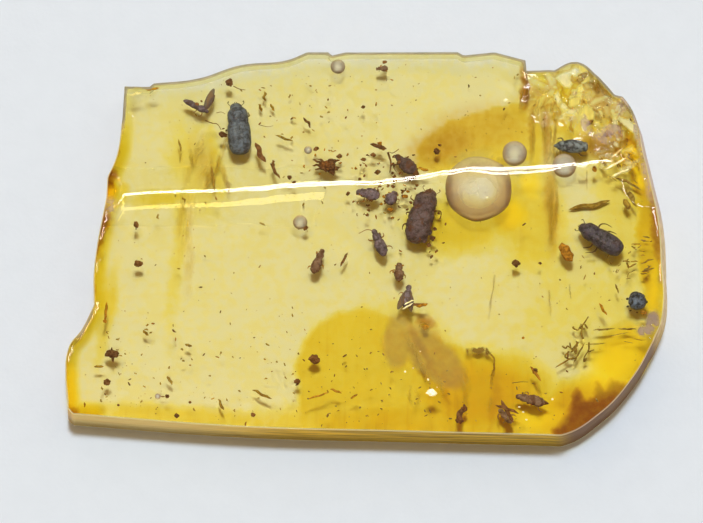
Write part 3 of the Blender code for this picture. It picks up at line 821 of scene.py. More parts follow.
def bubbleWallColourAndShade(paint, speckle, milk, ringed, nearer):
    # painted shade: darker rings, shifted towards the front; painted light: paler at the back
    colour = paint.ramp((ringed + nearer * 0.3) * 0.75, bubbleColours["rings"])
    colour = paint.mix(1 - nearer.step(-0.5, 0.0), colour, bubbleColours["behind"])
    pale = paint.mix(ringed.step(0.4, 0.95), *bubbleColours["milky"])
    # painted highlight: a bright crescent at the front
    shine = nearer.step(0.45, 0.6) * (1 - ringed.step(0.8, 0.95)) * 0.8
    pale = paint.mix(shine, pale, bubbleColours["shine"])
    colour = paint.mix(milk.step(0.6, 0.65), colour, pale)
    return paint.mix(speckle.step(0.45, 0.7) * 0.35, colour, bubbleColours["speckle"])


def amberPaint():
    paint = Paint("clear amber")
    where = paint.place()
    x, y, z = paint.axes(where)
    outside = 1 - 2 * paint.node("ShaderNodeNewGeometry", out=6)
    faceX, faceY, faceZ = paint.axes(paint.node("ShaderNodeNewGeometry", out=3))
    bubble = paint.mark("bubble")
    haze, veil, crinkle = paint.mark("haze"), paint.mark("veil"), paint.mark("crinkle")
    down, inland, fold = paint.mark("down"), paint.mark("inland"), paint.mark("fold")
    wall = (1 - abs(faceZ).step(0.35, 0.75)) * (1 - bubble)
    front = (-1 * faceY * outside).step(0.1, 0.3) * wall
    atEnds = abs(faceX).step(0.5, 0.85) * wall
    wander = paint.cloud(where, 0.45, 3.0)
    speckle = paint.cloud(where, 2.4, 3.0)
    flow = paint.cloud(paint.stretch(where, (0.25, 2.2, 0.3)), 1.0, 3.0)
    strands = paint.cloud(paint.stretch(where, (2.4, 0.28, 0.3)), 1.0, 3.0)

    # tints of the clear resin
    strongest = slab["strongest"]
    golden = paint.mark("golden") * (0.75 + wander * 0.3 + strands * 0.25)
    golden = golden + crinkle * fold.hump((0.6, 0.64), (0.76, 0.8)) * 0.2
    atLeft = ((y + 9.3) * 0.176 - x).step(12.9, 13.7)
    leftStrip = (1 - inland.step(0.2, 0.85)) * atLeft * (0.5 + wander * 0.45)
    golden = golden + leftStrip * (1 - y.step(4.5, 7.0) * 0.8)
    # painted shade: a little more yellow just inside the back edge, where the lamp's light reaches the paper
    # through less resin
    golden = golden + (1 - inland.step(0.32, 0.42)) * y.step(5.5, 6.5) * (1 - atLeft) * 0.1
    golden = golden + (wander + speckle).step(0.85, 1.2) * 0.08 * down
    tint = paint.stain(golden / strongest, [value * strongest for value in slab["goldStain"]])
    umber = paint.mark("umber") * (0.5 + speckle) + golden * strands.step(0.55, 0.75) * 0.08
    cracked = paint.mark("crack") * fold.step(0.35, 0.6) * 0.22 + fold.step(0.88, 0.9) * 0.12
    umber = umber + crinkle * cracked * (1 - down)
    umber = umber + (1 - inland.step(0.05, 0.2)) * atLeft * (0.08 + speckle.step(0.45, 0.7) * 0.25)
    tint = paint.mix(1.0, tint, paint.stain(umber.least(1.0), slab["umberStain"]), "MULTIPLY")
    tint = paint.mix(flow.step(0.45, 0.7) * 0.16, tint, paint.mix(1.0, tint, (0.94, 0.86, 0.5), "MULTIPLY"))

    # where the surface is frosted or chipped: the sides, the hazy zones and the bubbles' walls, with a
    # painted highlight line along the front rim and a dark line along the back rim
    sideGrain = paint.cloud(paint.stretch(where, (0.3, 0.8, 5.0)), 1.2, 3.0)
    atBack = y.step(5.5, 6.5)
    nearNotch = x.hump((-14.7, -14.2), (-13.9, -13.5)) * y.hump((-5.9, -5.2), (-3.6, -3.0))
    backRim = (1 - inland.step(0.1, 0.19)) * (1 - down.step(0.06, 0.15)) * (1 - bubble)
    backRim = backRim * atBack.most(nearNotch * 0.8)
    # a painted highlight line along the top edge, everywhere but at the back
    frontRimHighlight = (1 - down.step(0.0, 0.05)) * (1 - inland.step(0.03, 0.07)) * (1 - atBack)
    curved = x.step(9.0, 10.5) * (-1 * y).step(4.0, 5.5)
    rightEnd = x.step(12.3, 13.2) * (1 - (-1 * y).step(4.0, 5.5))
    share = front * (0.86 + sideGrain * 0.14)
    share = share.most(atEnds * (0.3 + speckle * 0.4)).most(atEnds * rightEnd * (0.7 + speckle * 0.3))
    share = share.most(frontRimHighlight * 0.55).most(backRim * (0.6 + speckle * 0.5))
    patchy = paint.cloud(where, 1.3, 2.5)
    share = share.most(haze * (0.35 + speckle.step(0.35, 0.55) * 0.65)).most(veil * (0.35 + patchy * 1.1))
    # frosted chips in the splintered corner, which carry painted highlights
    flakeHighlights = crinkle * (1 - down) * (1 - fold.step(0.48, 0.5)) * (1 - paint.mark("crack"))
    share = share.most(flakeHighlights * (0.15 + patchy * 0.45 + strands.step(0.35, 0.65) * 0.3))
    share = share.most(paint.mark("gilt") * (0.6 + strands * 0.5))
    milk, ringed, nearer = paint.mark("milky"), paint.mark("ring"), paint.mark("near")
    milky = milk * (0.45 + wander * 0.4 + ringed.step(0.45, 0.95) * 0.6)
    share = share.most(bubble * milky).least(0.95)

    # what colour it is there, with painted shade and highlights on some walls, rims, chips and bubbles
    olive = paint.mix(sideGrain.step(0.3, 0.65), *frost["olive"])
    tan = paint.mix(sideGrain, *frost["tan"])
    frosted = paint.mix((-1 * x).step(3.0, 11.0), olive, tan)
    # painted shade: the front wall darker towards its foot
    frosted = paint.mix(down.step(0.3, 1.0) * 0.5, frosted, frost["shadedLowWall"])
    # painted shade: the lower right curved wall dark brown
    frosted = paint.mix(curved, frosted, paint.mix(sideGrain, *frost["shadedBrownEnd"]))
    endColour = paint.mix(speckle.step(0.35, 0.65), *frost["goldenEnd"])
    endColour = paint.mix(y.step(0.5, 2.5) * (0.4 + speckle), endColour, frost["pinkEnd"])
    frosted = paint.mix(rightEnd, frosted, endColour)
    frosted = paint.mix(atEnds * (-1 * x).step(9.0, 10.0), frosted, frost["leftEnd"])
    frosted = paint.mix(frontRimHighlight, frosted, paint.mix(curved, *frost["frontRimHighlights"]))
    frosted = paint.mix(backRim, frosted, paint.mix(speckle, *frost["backRim"]))
    gilt = paint.mark("gilt")
    frosted = paint.mix(gilt.step(0.02, 0.1), frosted, frost["gilt"])
    # painted highlights: cream on some chips of the splintered corner, gold on the rest
    flakeHighlights = crinkle * (1 - haze.step(0.1, 0.3)) * (1 - wall) * (1 - backRim) * (1 - gilt.step(0.02, 0.1))
    frosted = paint.mix(flakeHighlights, frosted, paint.mix(fold.step(0.2, 0.24), *frost["flakeHighlights"]))
    chipped = paint.mix(speckle, *frost["chipped"])
    chipped = paint.mix(y.step(-1.0, 0.0), chipped, frost["chippedBehind"])
    frosted = paint.mix(haze.step(0.1, 0.3), frosted, chipped)
    frosted = paint.mix(veil.step(0.05, 0.2), frosted, frost["veil"])
    frosted = paint.mix(bubble, frosted, bubbleWallColourAndShade(paint, speckle, milk, ringed, nearer))
    # painted glow on the upper part of the front wall, weaker to the right
    glowing = front * (1 - curved) * (1 - down.step(0.25, 0.8)) * (1 - x.step(-3.0, 2.0) * 0.8) * (1 - bubble)
    roughPlace = paint.bump(sideGrain * 0.6 + speckle * 0.4, 0.04, 0.6)

    folds = paint.cloud(paint.stretch(where, (1.0, 0.6, 1.0)), 0.8, 1.5, 0.5, 0.6)
    ripple = paint.bump(folds * crinkle, 0.1, 1.0)
    underside = 1 - z.step(0.01, 0.05)
    astray = (wander - 0.5) * slab["shinyAstray"]
    ends, starts, closes = [(at, at + slab["shinyEdge"]) for at in slab["shiny"]]
    shiny = (1 - (x + astray).step(*ends)) * (y + astray * 0.3).hump(starts, closes)
    dull = underside * (1 - shiny) * slab["dull"]
    glass = paint.shader({
        "Base Color": tint, "Roughness": dull, "IOR": slab["ior"], "Transmission Weight": 1.0,
        "Specular Tint": (0.5, 0.5, 0.5), "Normal": ripple,
    })
    # painted glow: emission on the gilt zones and on the upper front wall
    glow = paint.mix(gilt, paint.mix(glowing, (0.0, 0.0, 0.0), slab["wallGlow"]), slab["giltGlow"])
    matte = paint.shader({
        "Base Color": frosted, "Roughness": 0.5, "Normal": roughPlace, "Specular IOR Level": 0.12,
        "Coat Weight": bubble * 0.3, "Coat Roughness": 0.2, "Emission Color": glow, "Emission Strength": 1.0,
    })
    surface = paint.node("ShaderNodeMixShader", {}, {0: share, 1: glass, 2: matte})
    # the key lamp shines straight through the clear resin, except where something here keeps it back
    steep = bubble * (1 - abs(faceZ).step(0.3, 0.8)) * milk
    upright = (1 - curved) * (0.35 + down.step(0.0, 0.25) * 0.62) + curved * down.step(0.3, 0.55) * 0.95
    blocked = (front * upright).most(atEnds * 0.3)
    blocked = blocked.most(steep * 0.35 + bubble * milk * 0.12).most(haze * 0.5)
    lampRay = paint.node("ShaderNodeLightPath", out=1) * (1 - blocked)
    clear = paint.node("ShaderNodeBsdfTransparent")
    surface = paint.node("ShaderNodeMixShader", {}, {0: lampRay, 1: surface, 2: clear})
    volume = paint.node("ShaderNodeVolumeAbsorption", {}, {
        "Color": slab["absorbColour"], "Density": slab["absorbDensity"],
    })
    return paint.finish(surface, volume)


amber = newPiece("amber", slabMesh(), amberPaint(), ("amber_upper", "amber_lower"))
print("slab is made", len(amber.data.polygons))

# Insects: each is made lying along +Y with its head forward, its back up and its middle at the origin,
# and is then turned about its own length (lean) and about the upright (heading, degrees left of +Y)
partCodes = {"body": 0.0, "limb": 1.0, "wing": 2.0}  # what the paint tells apart


class Insect:
    def __init__(self, seed):
        self.work = bmesh.new()
        self.part = self.work.verts.layers.float.new("part")
        self.shift = Vector((seed * 7.3, seed * 3.1, seed * 5.7))

    def rough(self, point, size, deep):
        return noise.noise(point / size + self.shift) * deep

    def point(self, place, part):
        vertex = self.work.verts.new(place * mm)
        vertex[self.part] = partCodes[part]
        return vertex

    def lump(self, centre, halfSizes, blunt=2.0, fat=2.0, relief=None, facets=48, part="body", turn=0.0,
             worn=1.0):
        # a rounded body; blunt squares off its ends, fat its cross-section, and worn makes it ragged
        rings = facets // 2
        centre = Vector(centre)
        halfWide, halfLong, halfHigh = halfSizes
        rotation = Matrix.Rotation(math.radians(turn), 3, "Z")
        rows = []
        for ring in range(rings + 1):
            t = -math.cos(math.pi * ring / rings)
            wide = max(0.0, 1 - abs(t) ** blunt) ** (1 / blunt)
            row = []
            for k in range(facets if 0 < ring < rings else 1):
                angle = 2 * math.pi * k / facets
                across, up = math.sin(angle), math.cos(angle)
                size = (abs(across) ** fat + abs(up) ** fat) ** (-1 / fat)
                spread = size * wide
                point = Vector((across * spread * halfWide, t * halfLong, up * spread * halfHigh))
                outward = Vector((across, t * 0.4, up)).normalized()
                lift = self.rough(point + centre, 0.16, 0.022) + self.rough(point + centre, 0.05, 0.007)
                lift *= worn
                if relief:
                    lift += relief(t, across, up)
                point = rotation @ (point + outward * lift * (0.3 + 0.7 * wide))
                row.append(self.point(centre + point, part))
            rows.append(row)
        skin(self.work, rows)

    def limb(self, points, radii):
        # a leg or feeler: a tube through the points, with a radius for each
        rows = []
        for spot, radius, way in smoothPath([Vector(p) for p in points], radii, 5):
            row = []
            for rim in circleAcross(way, 8):
                rim = rim * radius
                place = spot + rim * (1 + self.rough(spot + rim, 0.05, 0.25))
                row.append(self.point(place, "limb"))
            rows.append(row)
        skin(self.work, rows, ends=True)

    def wing(self, root, tip, wide, bend):
        # a thin blade from root to tip, widest beyond its middle, with raised veins
        root, tip = Vector(root), Vector(tip)
        way = tip - root
        side = Vector((way.y, -way.x, 0)).normalized()
        thick, long, broad = 0.018, 24, 10
        made = []
        for face in (1, -1):
            rows = []
            for i in range(long + 1):
                u = i / long
                width = wide * (math.sin(math.pi * min(1, u * 0.93 + 0.05)) ** 0.6)
                row = []
                for j in range(broad + 1):
                    v = j / broad * 2 - 1
                    vein = 0.008 * max(0, math.cos(v * 9 + u * 2)) ** 6
                    height = bend * math.sin(math.pi * u) + 0.03 * v * v * wide
                    edge = 1.0 if v > 0 else 0.0
                    ragged = 1 + 0.16 * noise.noise(Vector((u * 5, edge, 2)) + self.shift)
                    point = root + way * u + side * v * width * 0.5 * ragged
                    point.z += height + face * (thick * 0.5 * (1 - v * v) + vein)
                    row.append(self.point(point, "wing"))
                rows.append(row)
            skin(self.work, rows[::face], closed=False)
            made += [vertex for row in rows for vertex in row]
        bmesh.ops.remove_doubles(self.work, verts=made, dist=1e-8)

    def settle(self, name, place, heading, material, lean=0.0):
        turn = Matrix.Rotation(math.radians(heading), 4, "Z") @ Matrix.Rotation(math.radians(lean), 4, "Y")
        seat = Matrix.Translation(Vector((*place, slabMiddle)) * mm) @ turn
        bmesh.ops.transform(self.work, matrix=seat, verts=self.work.verts)
        mesh = meshOf(self.work, name)
        return newPiece(name + "_body", mesh, material, (name,))


def smoothPath(points, radii, steps):
    # points along a smooth run through the given ones, each with its radius and the way on from it
    path = []
    last = len(points) - 1
    for k in range(last):
        before = points[max(k - 1, 0)]
        after = points[min(k + 2, last)]
        handle = (points[k + 1] - before) / 6 if k else (points[1] - points[0]) / 3
        closing = (after - points[k]) / 6 if k < last - 1 else (points[last] - points[last - 1]) / 3
        start, end = points[k], points[k + 1]
        arc = interpolate_bezier(start, start + handle, end - closing, end, steps + 1)
        for step, spot in enumerate(arc[:-1]):
            path.append((spot, radii[k] + (radii[k + 1] - radii[k]) * step / steps))
    path.append((points[last], radii[last]))
    spots = [spot for spot, _ in path]
    ways = [after - before for before, after in zip(spots[:1] + spots[:-1], spots[1:] + spots[-1:])]
    return [(spot, radius, way) for (spot, radius), way in zip(path, ways)]


def circleAcross(way, count):
    toWay = way.to_track_quat("Z", "Y")
    angles = [math.tau * k / count for k in range(count)]
    return [toWay @ Vector((math.cos(angle), math.sin(angle), 0)) for angle in angles]


def caseRelief(t, across, up):
    # wing cases: rows of pits, and a groove where the two meet
    if up < 0:
        return 0.006 * math.cos(t * 22)
    rows = 0.008 * math.cos(across * 26)
    seam = -0.035 * math.exp(-((across / 0.09) ** 2))
    return rows + seam


def shieldRelief(t, across, up):
    # a hooded shield, grainy towards the front
    grain = 0.012 * math.sin(across * 21 + t * 4) * math.sin(t * 17)
    return grain * smooth(t, -0.4, 0.8) - 0.012 * math.exp(-(((t + 0.55) / 0.1) ** 2))


def ringRelief(count, deep):
    def relief(t, across, up):
        return -deep * max(0.0, math.cos(t * math.pi * count)) ** 4
    return relief


def addLeg(insect, hip, knee, shin, foot, thick=0.03):
    insect.limb([hip, knee, shin, foot], [thick, thick * 1.25, thick * 0.75, thick * 0.35])


def addBeetle(insect, length, width, height, legs, headTurn=0.0, tail=0.0, worn=1.0):
    # a cylindrical wood-boring beetle: wing cases, hooded shield, head with eyes and jaws, feelers
    w, h = width / 2, height / 2
    insect.lump((0, -length * 0.14, 0), (w, length * 0.36, h), 2.9, 2.3, caseRelief, 72, worn=worn)
    insect.lump((0, length * 0.22, 0.02), (w * 0.9, length * 0.215, h * 0.94), 2.4, 2.1, shieldRelief, 56,
                worn=worn)
    insect.lump((headTurn, length * 0.41, -0.06), (w * 0.52, length * 0.095, h * 0.56), 2.2, 2, None, 28)
    if tail:
        insect.lump((0, -length * 0.47, -0.05), (w * 0.5, tail, h * 0.5), 2, 2, ringRelief(3, 0.01), 24)
    for side in (-1, 1):
        insect.lump((headTurn + side * w * 0.42, length * 0.43, 0), (0.05, 0.06, 0.06), 2, 2, None, 12)
        insect.limb([(headTurn + side * w * 0.12, length * 0.48, -0.1),
                     (headTurn + side * w * 0.06, length * 0.53, -0.1)], [0.035, 0.012])
        feeler = ((0.4, 0.43, 0), (0.7, 0.5, 0.02), (0.62, 0.535, 0.02))
        insect.limb([(headTurn + side * w * x, length * y, z) for x, y, z in feeler], [0.014, 0.014, 0.03])
    for leg in legs:
        addLeg(insect, *leg)


def tuckedLegs(width, height, length, reach):
    # three pairs, drawn in under the body
    legs = []
    w, h = width / 2, height / 2
    for side in (-1, 1):
        for y, sweep in ((0.2, 0.2), (0.02, -0.08), (-0.16, -0.24)):
            hip = (side * w * 0.45, length * y, -h * 0.6)
            knee = (side * (w + reach * 0.5), length * y + sweep * 0.7, -h * 0.4)
            shin = (side * (w + reach), length * y + sweep * 1.3, -h * 0.8)
            foot = (side * (w + reach * 0.7), length * y + sweep * 1.9, -h * 0.95)
            legs.append((hip, knee, shin, foot))
    return legs


chitinLooks = {
    "filmSheen": (0.3, 0.32, 0.36),  # a thin silvery air layer over the dark parts, its sheen painted into the colour
    "rust": (0.16, 0.045, 0.015),
    "wing": (0.15, 0.1, 0.11),
    "wingThin": 0.3,
}


def chitinPaint(name, dark, light, limbColour, rust, shine):
    # mottled chitin under a thin silvery air layer whose sheen is painted in, with browner limbs and thin
    # brown wings
    paint = Paint(name)
    where = paint.place()
    part = paint.mark("part")
    blotch = paint.cloud(where, 4.0, 4.0, 0.65, 0.6)
    fine = paint.cloud(where, 14.0, 3.0)
    pits = paint.cells(where, 16.0)
    colour = paint.mix(blotch.step(0.36, 0.68), dark, light)
    # painted sheen: patches of the silvery layer
    colour = paint.mix(fine.step(0.55, 0.75) * 0.5, colour, chitinLooks["filmSheen"])
    rustSpots = paint.cloud(where, 2.6, 2.0).step(0.56, 0.68) * rust
    colour = paint.mix(rustSpots, colour, chitinLooks["rust"])
    limbs = part.step(0.4, 0.6)
    colour = paint.mix(limbs, colour, limbColour)
    wings = part.step(1.4, 1.6)
    veins = paint.cloud(paint.stretch(where, (9.0, 2.0, 1.0)), 1.0, 2.0)
    colour = paint.mix(wings * veins.step(0.35, 0.6) * 0.6 + wings * 0.4, colour, chitinLooks["wing"])
    rough = 0.62 - blotch.step(0.45, 0.6) * shine
    relief = paint.bump(pits * 0.6 + fine * 0.4, 0.02, 0.7)
    shader = paint.shader({
        "Base Color": colour, "Roughness": rough, "Normal": relief, "Coat Weight": shine * 0.8,
        "Coat Roughness": 0.3, "Alpha": 1 - wings * chitinLooks["wingThin"],
    })
    return paint.finish(shader)


# dark and light chitin, limbs, how rusty and how shiny
chitin = {
    "slate": ((0.05, 0.055, 0.08), (0.2, 0.24, 0.34), (0.07, 0.035, 0.02), 0.12, 0.35),
    "ruddy": ((0.07, 0.038, 0.042), (0.2, 0.12, 0.14), (0.2, 0.07, 0.02), 0.7, 0.25),
    "navy": ((0.025, 0.02, 0.032), (0.13, 0.105, 0.17), (0.1, 0.05, 0.03), 0.2, 0.4),
    "black": ((0.008, 0.009, 0.013), (0.22, 0.28, 0.45), (0.05, 0.03, 0.02), 0.0, 0.5),
    "silvery": ((0.03, 0.035, 0.055), (0.34, 0.39, 0.5), (0.1, 0.06, 0.04), 0.1, 0.5),
    "plum": ((0.09, 0.055, 0.07), (0.32, 0.23, 0.33), (0.34, 0.14, 0.05), 0.4, 0.25),
    "umber": ((0.15, 0.055, 0.035), (0.38, 0.22, 0.15), (0.5, 0.22, 0.04), 0.6, 0.2),
    "dusky": ((0.16, 0.075, 0.04), (0.38, 0.22, 0.15), (0.4, 0.2, 0.05), 0.6, 0.15),
}
chitinPaints = {kind: chitinPaint(kind + " chitin", *looks) for kind, looks in chitin.items()}


def addBits(insect, count, across, along, size, z=-0.1):
    # scraps of limb and wood that lie round an insect
    pick = random.Random(int(insect.shift.x * 10))
    for _ in range(count):
        turn = pick.uniform(0, math.tau)
        away = pick.uniform(0.85, 1.25)
        spot = (math.cos(turn) * across * away, math.sin(turn) * along * away, z + pick.uniform(-0.1, 0.1))
        half = [size * pick.uniform(0.3, 0.8) for _ in range(3)]
        insect.lump(spot, half, 2, 2, None, 12, "limb", pick.uniform(-90, 90), 2.0)


# the cylindrical beetles: legs that are tucked in (which of them, and how far they reach out) and spread
beetles = {
    "beetle_tall": {
        "place": (-6.43, 6.1), "heading": 4.0, "lean": 6.0, "size": (2.7, 1.16, 0.9), "chitin": "slate",
        "tucked": (slice(1, 5, 2), 0.02), "spread": [], "form": (-0.05,),
    },
    "beetle_wide": {
        "place": (2.74, 1.62), "heading": -15.0, "lean": 6.0, "size": (2.84, 1.26, 0.95), "chitin": "ruddy",
        "tucked": (slice(3), 0.12), "form": (0.12, 0.16, 3.0),
        "spread": [((0.4, 0.35, -0.2), (0.82, 0.48, -0.1), (0.94, 0.3, -0.15), (0.9, 0.02, -0.2))],
    },
    "beetle_long": {
        "place": (11.7, 0.42), "heading": 57.0, "lean": 12.0, "size": (2.5, 1.0, 0.85), "chitin": "navy",
        "tucked": (slice(0), 0.0), "form": (0.0,),
        "spread": [
            ((0.25, 0.35, -0.1), (0.62, 0.42, 0.0), (0.82, 0.2, 0.0), (0.86, -0.14, -0.05)),
            ((0.25, 0.0, -0.2), (0.58, -0.1, -0.1), (0.7, -0.36, -0.15), (0.74, -0.5, -0.2)),
            ((-0.25, 0.2, -0.2), (-0.6, 0.22, -0.2), (-0.76, 0.4, -0.25), (-0.82, 0.5, -0.3)),
            ((-0.25, -0.05, -0.2), (-0.66, -0.1, -0.2), (-0.86, 0.12, -0.3), (-0.96, 0.26, -0.35)),
        ],
    },
}
# places, turns and half lengths of the torn ends of the wide beetle's wing cases
tornCases = [(0.42, -1.12, 18, 0.26), (0.55, -0.75, 30, 0.2), (-0.3, -1.2, -12, 0.24)]


def makeBeetles():
    for seed, (name, own) in enumerate(beetles.items(), 1):
        length, width, height = own["size"]
        which, reach = own["tucked"]
        insect = Insect(seed)
        legs = tuckedLegs(width, height, length, reach)[which] + own["spread"]
        addBeetle(insect, length, width, height, legs, *own["form"])
        if name == "beetle_wide":
            for x, y, turn, long in tornCases:
                insect.lump((x, y, 0.08), (0.17, long, 0.1), 1.6, 2, None, 20, "body", turn)
            addBits(insect, 12, 0.66, 1.2, 0.12)
        paint = chitinPaints[own["chitin"]]
        insect.settle(name, own["place"], own["heading"], paint, own["lean"])


def makePointedBeetle():
    # smooth wing cases that run out into a point, and a small dark head at the other end
    length, width, height = 1.75, 0.72, 0.62
    w, h = width / 2, height / 2
    insect = Insect(4)
    insect.lump((0, -0.1, 0), (w, length * 0.36, h), 2.2, 2.0, None, 64, worn=0.5)
    insect.lump((0, 0.42, 0), (w * 0.78, length * 0.22, h * 0.85), 1.7, 2.0, None, 40)
    insect.lump((0, 0.74, -0.04), (w * 0.3, 0.16, h * 0.4), 1.6, 2, None, 20)
    insect.lump((0, -0.66, -0.04), (w * 0.7, 0.18, h * 0.7), 2, 2, ringRelief(2, 0.01), 32)
    for leg in tuckedLegs(width, height, length, 0.08)[2:4]:
        addLeg(insect, *leg)
    insect.settle("beetle_pointed", (10.25, 5.2), 88.0, chitinPaints["silvery"])


def makeCurledBeetle():
    insect = Insect(5)
    radius = 0.46
    insect.lump((0, 0, 0), (radius, radius, radius * 0.8), 2.1, 2.1, ringRelief(4, 0.03), 56)
    insect.lump((0, radius * 0.8, -0.04), (radius * 0.55, radius * 0.35, radius * 0.5), 2, 2, None, 28)
    addBits(insect, 9, radius, radius, 0.1)
    insect.settle("beetle_curled", (13.52, -2.82), 25.0, chitinPaints["black"])


def addSlimInsect(insect, length, width, height, legs, antenna=0.0):
    # a small head with eyes, a round thorax and a ringed abdomen that widens towards its end
    w, h = width / 2, height / 2
    insect.lump((0, -length * 0.16, 0), (w, length * 0.34, h), 2.2, 2, ringRelief(5, 0.02), 44, worn=2.4)
    insect.lump((0, length * 0.2, 0.02), (w * 0.72, length * 0.18, h * 0.85), 2, 2, None, 36, worn=2.4)
    insect.lump((0, length * 0.39, 0), (w * 0.5, length * 0.11, h * 0.6), 2, 2, None, 28, worn=1.6)
    for side in (-1, 1):
        insect.lump((side * w * 0.36, length * 0.42, 0.03), (0.035, 0.04, 0.045), 2, 2, None, 12)
    for side, y, reach, sweep in legs:
        hip = (side * w * 0.5, length * y, -h * 0.3)
        knee = (side * (w + reach * 0.5), length * y + sweep * 0.2, -h * 0.4)
        shin = (side * (w + reach), length * y + sweep * 0.6, -h * 0.6)
        foot = (side * (w + reach * 0.9), length * y + sweep, -h * 0.8)
        addLeg(insect, hip, knee, shin, foot, 0.026)
    addBits(insect, 5, width * 0.5, length * 0.42, 0.09)
    if antenna:
        insect.limb([(-0.04, length * 0.44, 0), (-antenna * 0.4, length * 0.56, 0.04),
                     (-antenna, length * 0.55, 0)], [0.022, 0.02, 0.014])


slimInsects = {
    # each leg: its side, how far forward it starts, how far it reaches out, and how far it sweeps forward
    "cluster_insect": {
        "place": (0.05, 2.75), "heading": 80, "size": (1.2, 0.62, 0.5), "antenna": 0.0, "chitin": "plum",
        "legs": [(-1, 0.1, 0.14, 0.2), (1, -0.2, 0.1, -0.2)],
    },
    "slender_insect": {
        "place": (0.6, 0.22), "heading": 23, "size": (1.5, 0.58, 0.5), "antenna": 0.75, "chitin": "plum",
        "legs": [(1, -0.2, 0.22, -0.24), (-1, 0.15, 0.12, 0.2), (1, 0.12, 0.1, 0.24)],
    },
    "small_insect": {
        "place": (1.6, -1.3), "heading": -3, "size": (0.95, 0.5, 0.45), "antenna": 0.0, "chitin": "umber",
        "legs": [(-1, 0.12, 0.2, -0.2), (1, -0.1, 0.08, -0.2)],
    },
    "pear_insect": {
        "place": (-2.45, -0.75), "heading": -22, "size": (1.35, 0.5, 0.46), "antenna": 0.0, "chitin": "umber",
        "legs": [(1, -0.05, 0.12, -0.2), (-1, -0.25, 0.1, -0.2)],
    },
    "front_insect": {
        "place": (8.15, -7.9), "heading": 75, "size": (1.5, 0.56, 0.46), "antenna": 0.0, "chitin": "dusky",
        "legs": [(-1, -0.3, 0.14, -0.3), (1, 0.1, 0.08, 0.2)],
    },
    "edge_insect": {
        "place": (0.75, 9.25), "heading": 95, "size": (0.6, 0.26, 0.24), "antenna": 0.0, "chitin": "umber",
        "legs": [(1, 0.1, 0.06, -0.1)],
    },
}


def makeSlimInsects():
    for seed, (name, own) in enumerate(slimInsects.items()):
        insect = Insect(10 + seed)
        length, width, height = own["size"]
        addSlimInsect(insect, length, width, height, own["legs"], own["antenna"])
        insect.settle(name, own["place"], own["heading"], chitinPaints[own["chitin"]])


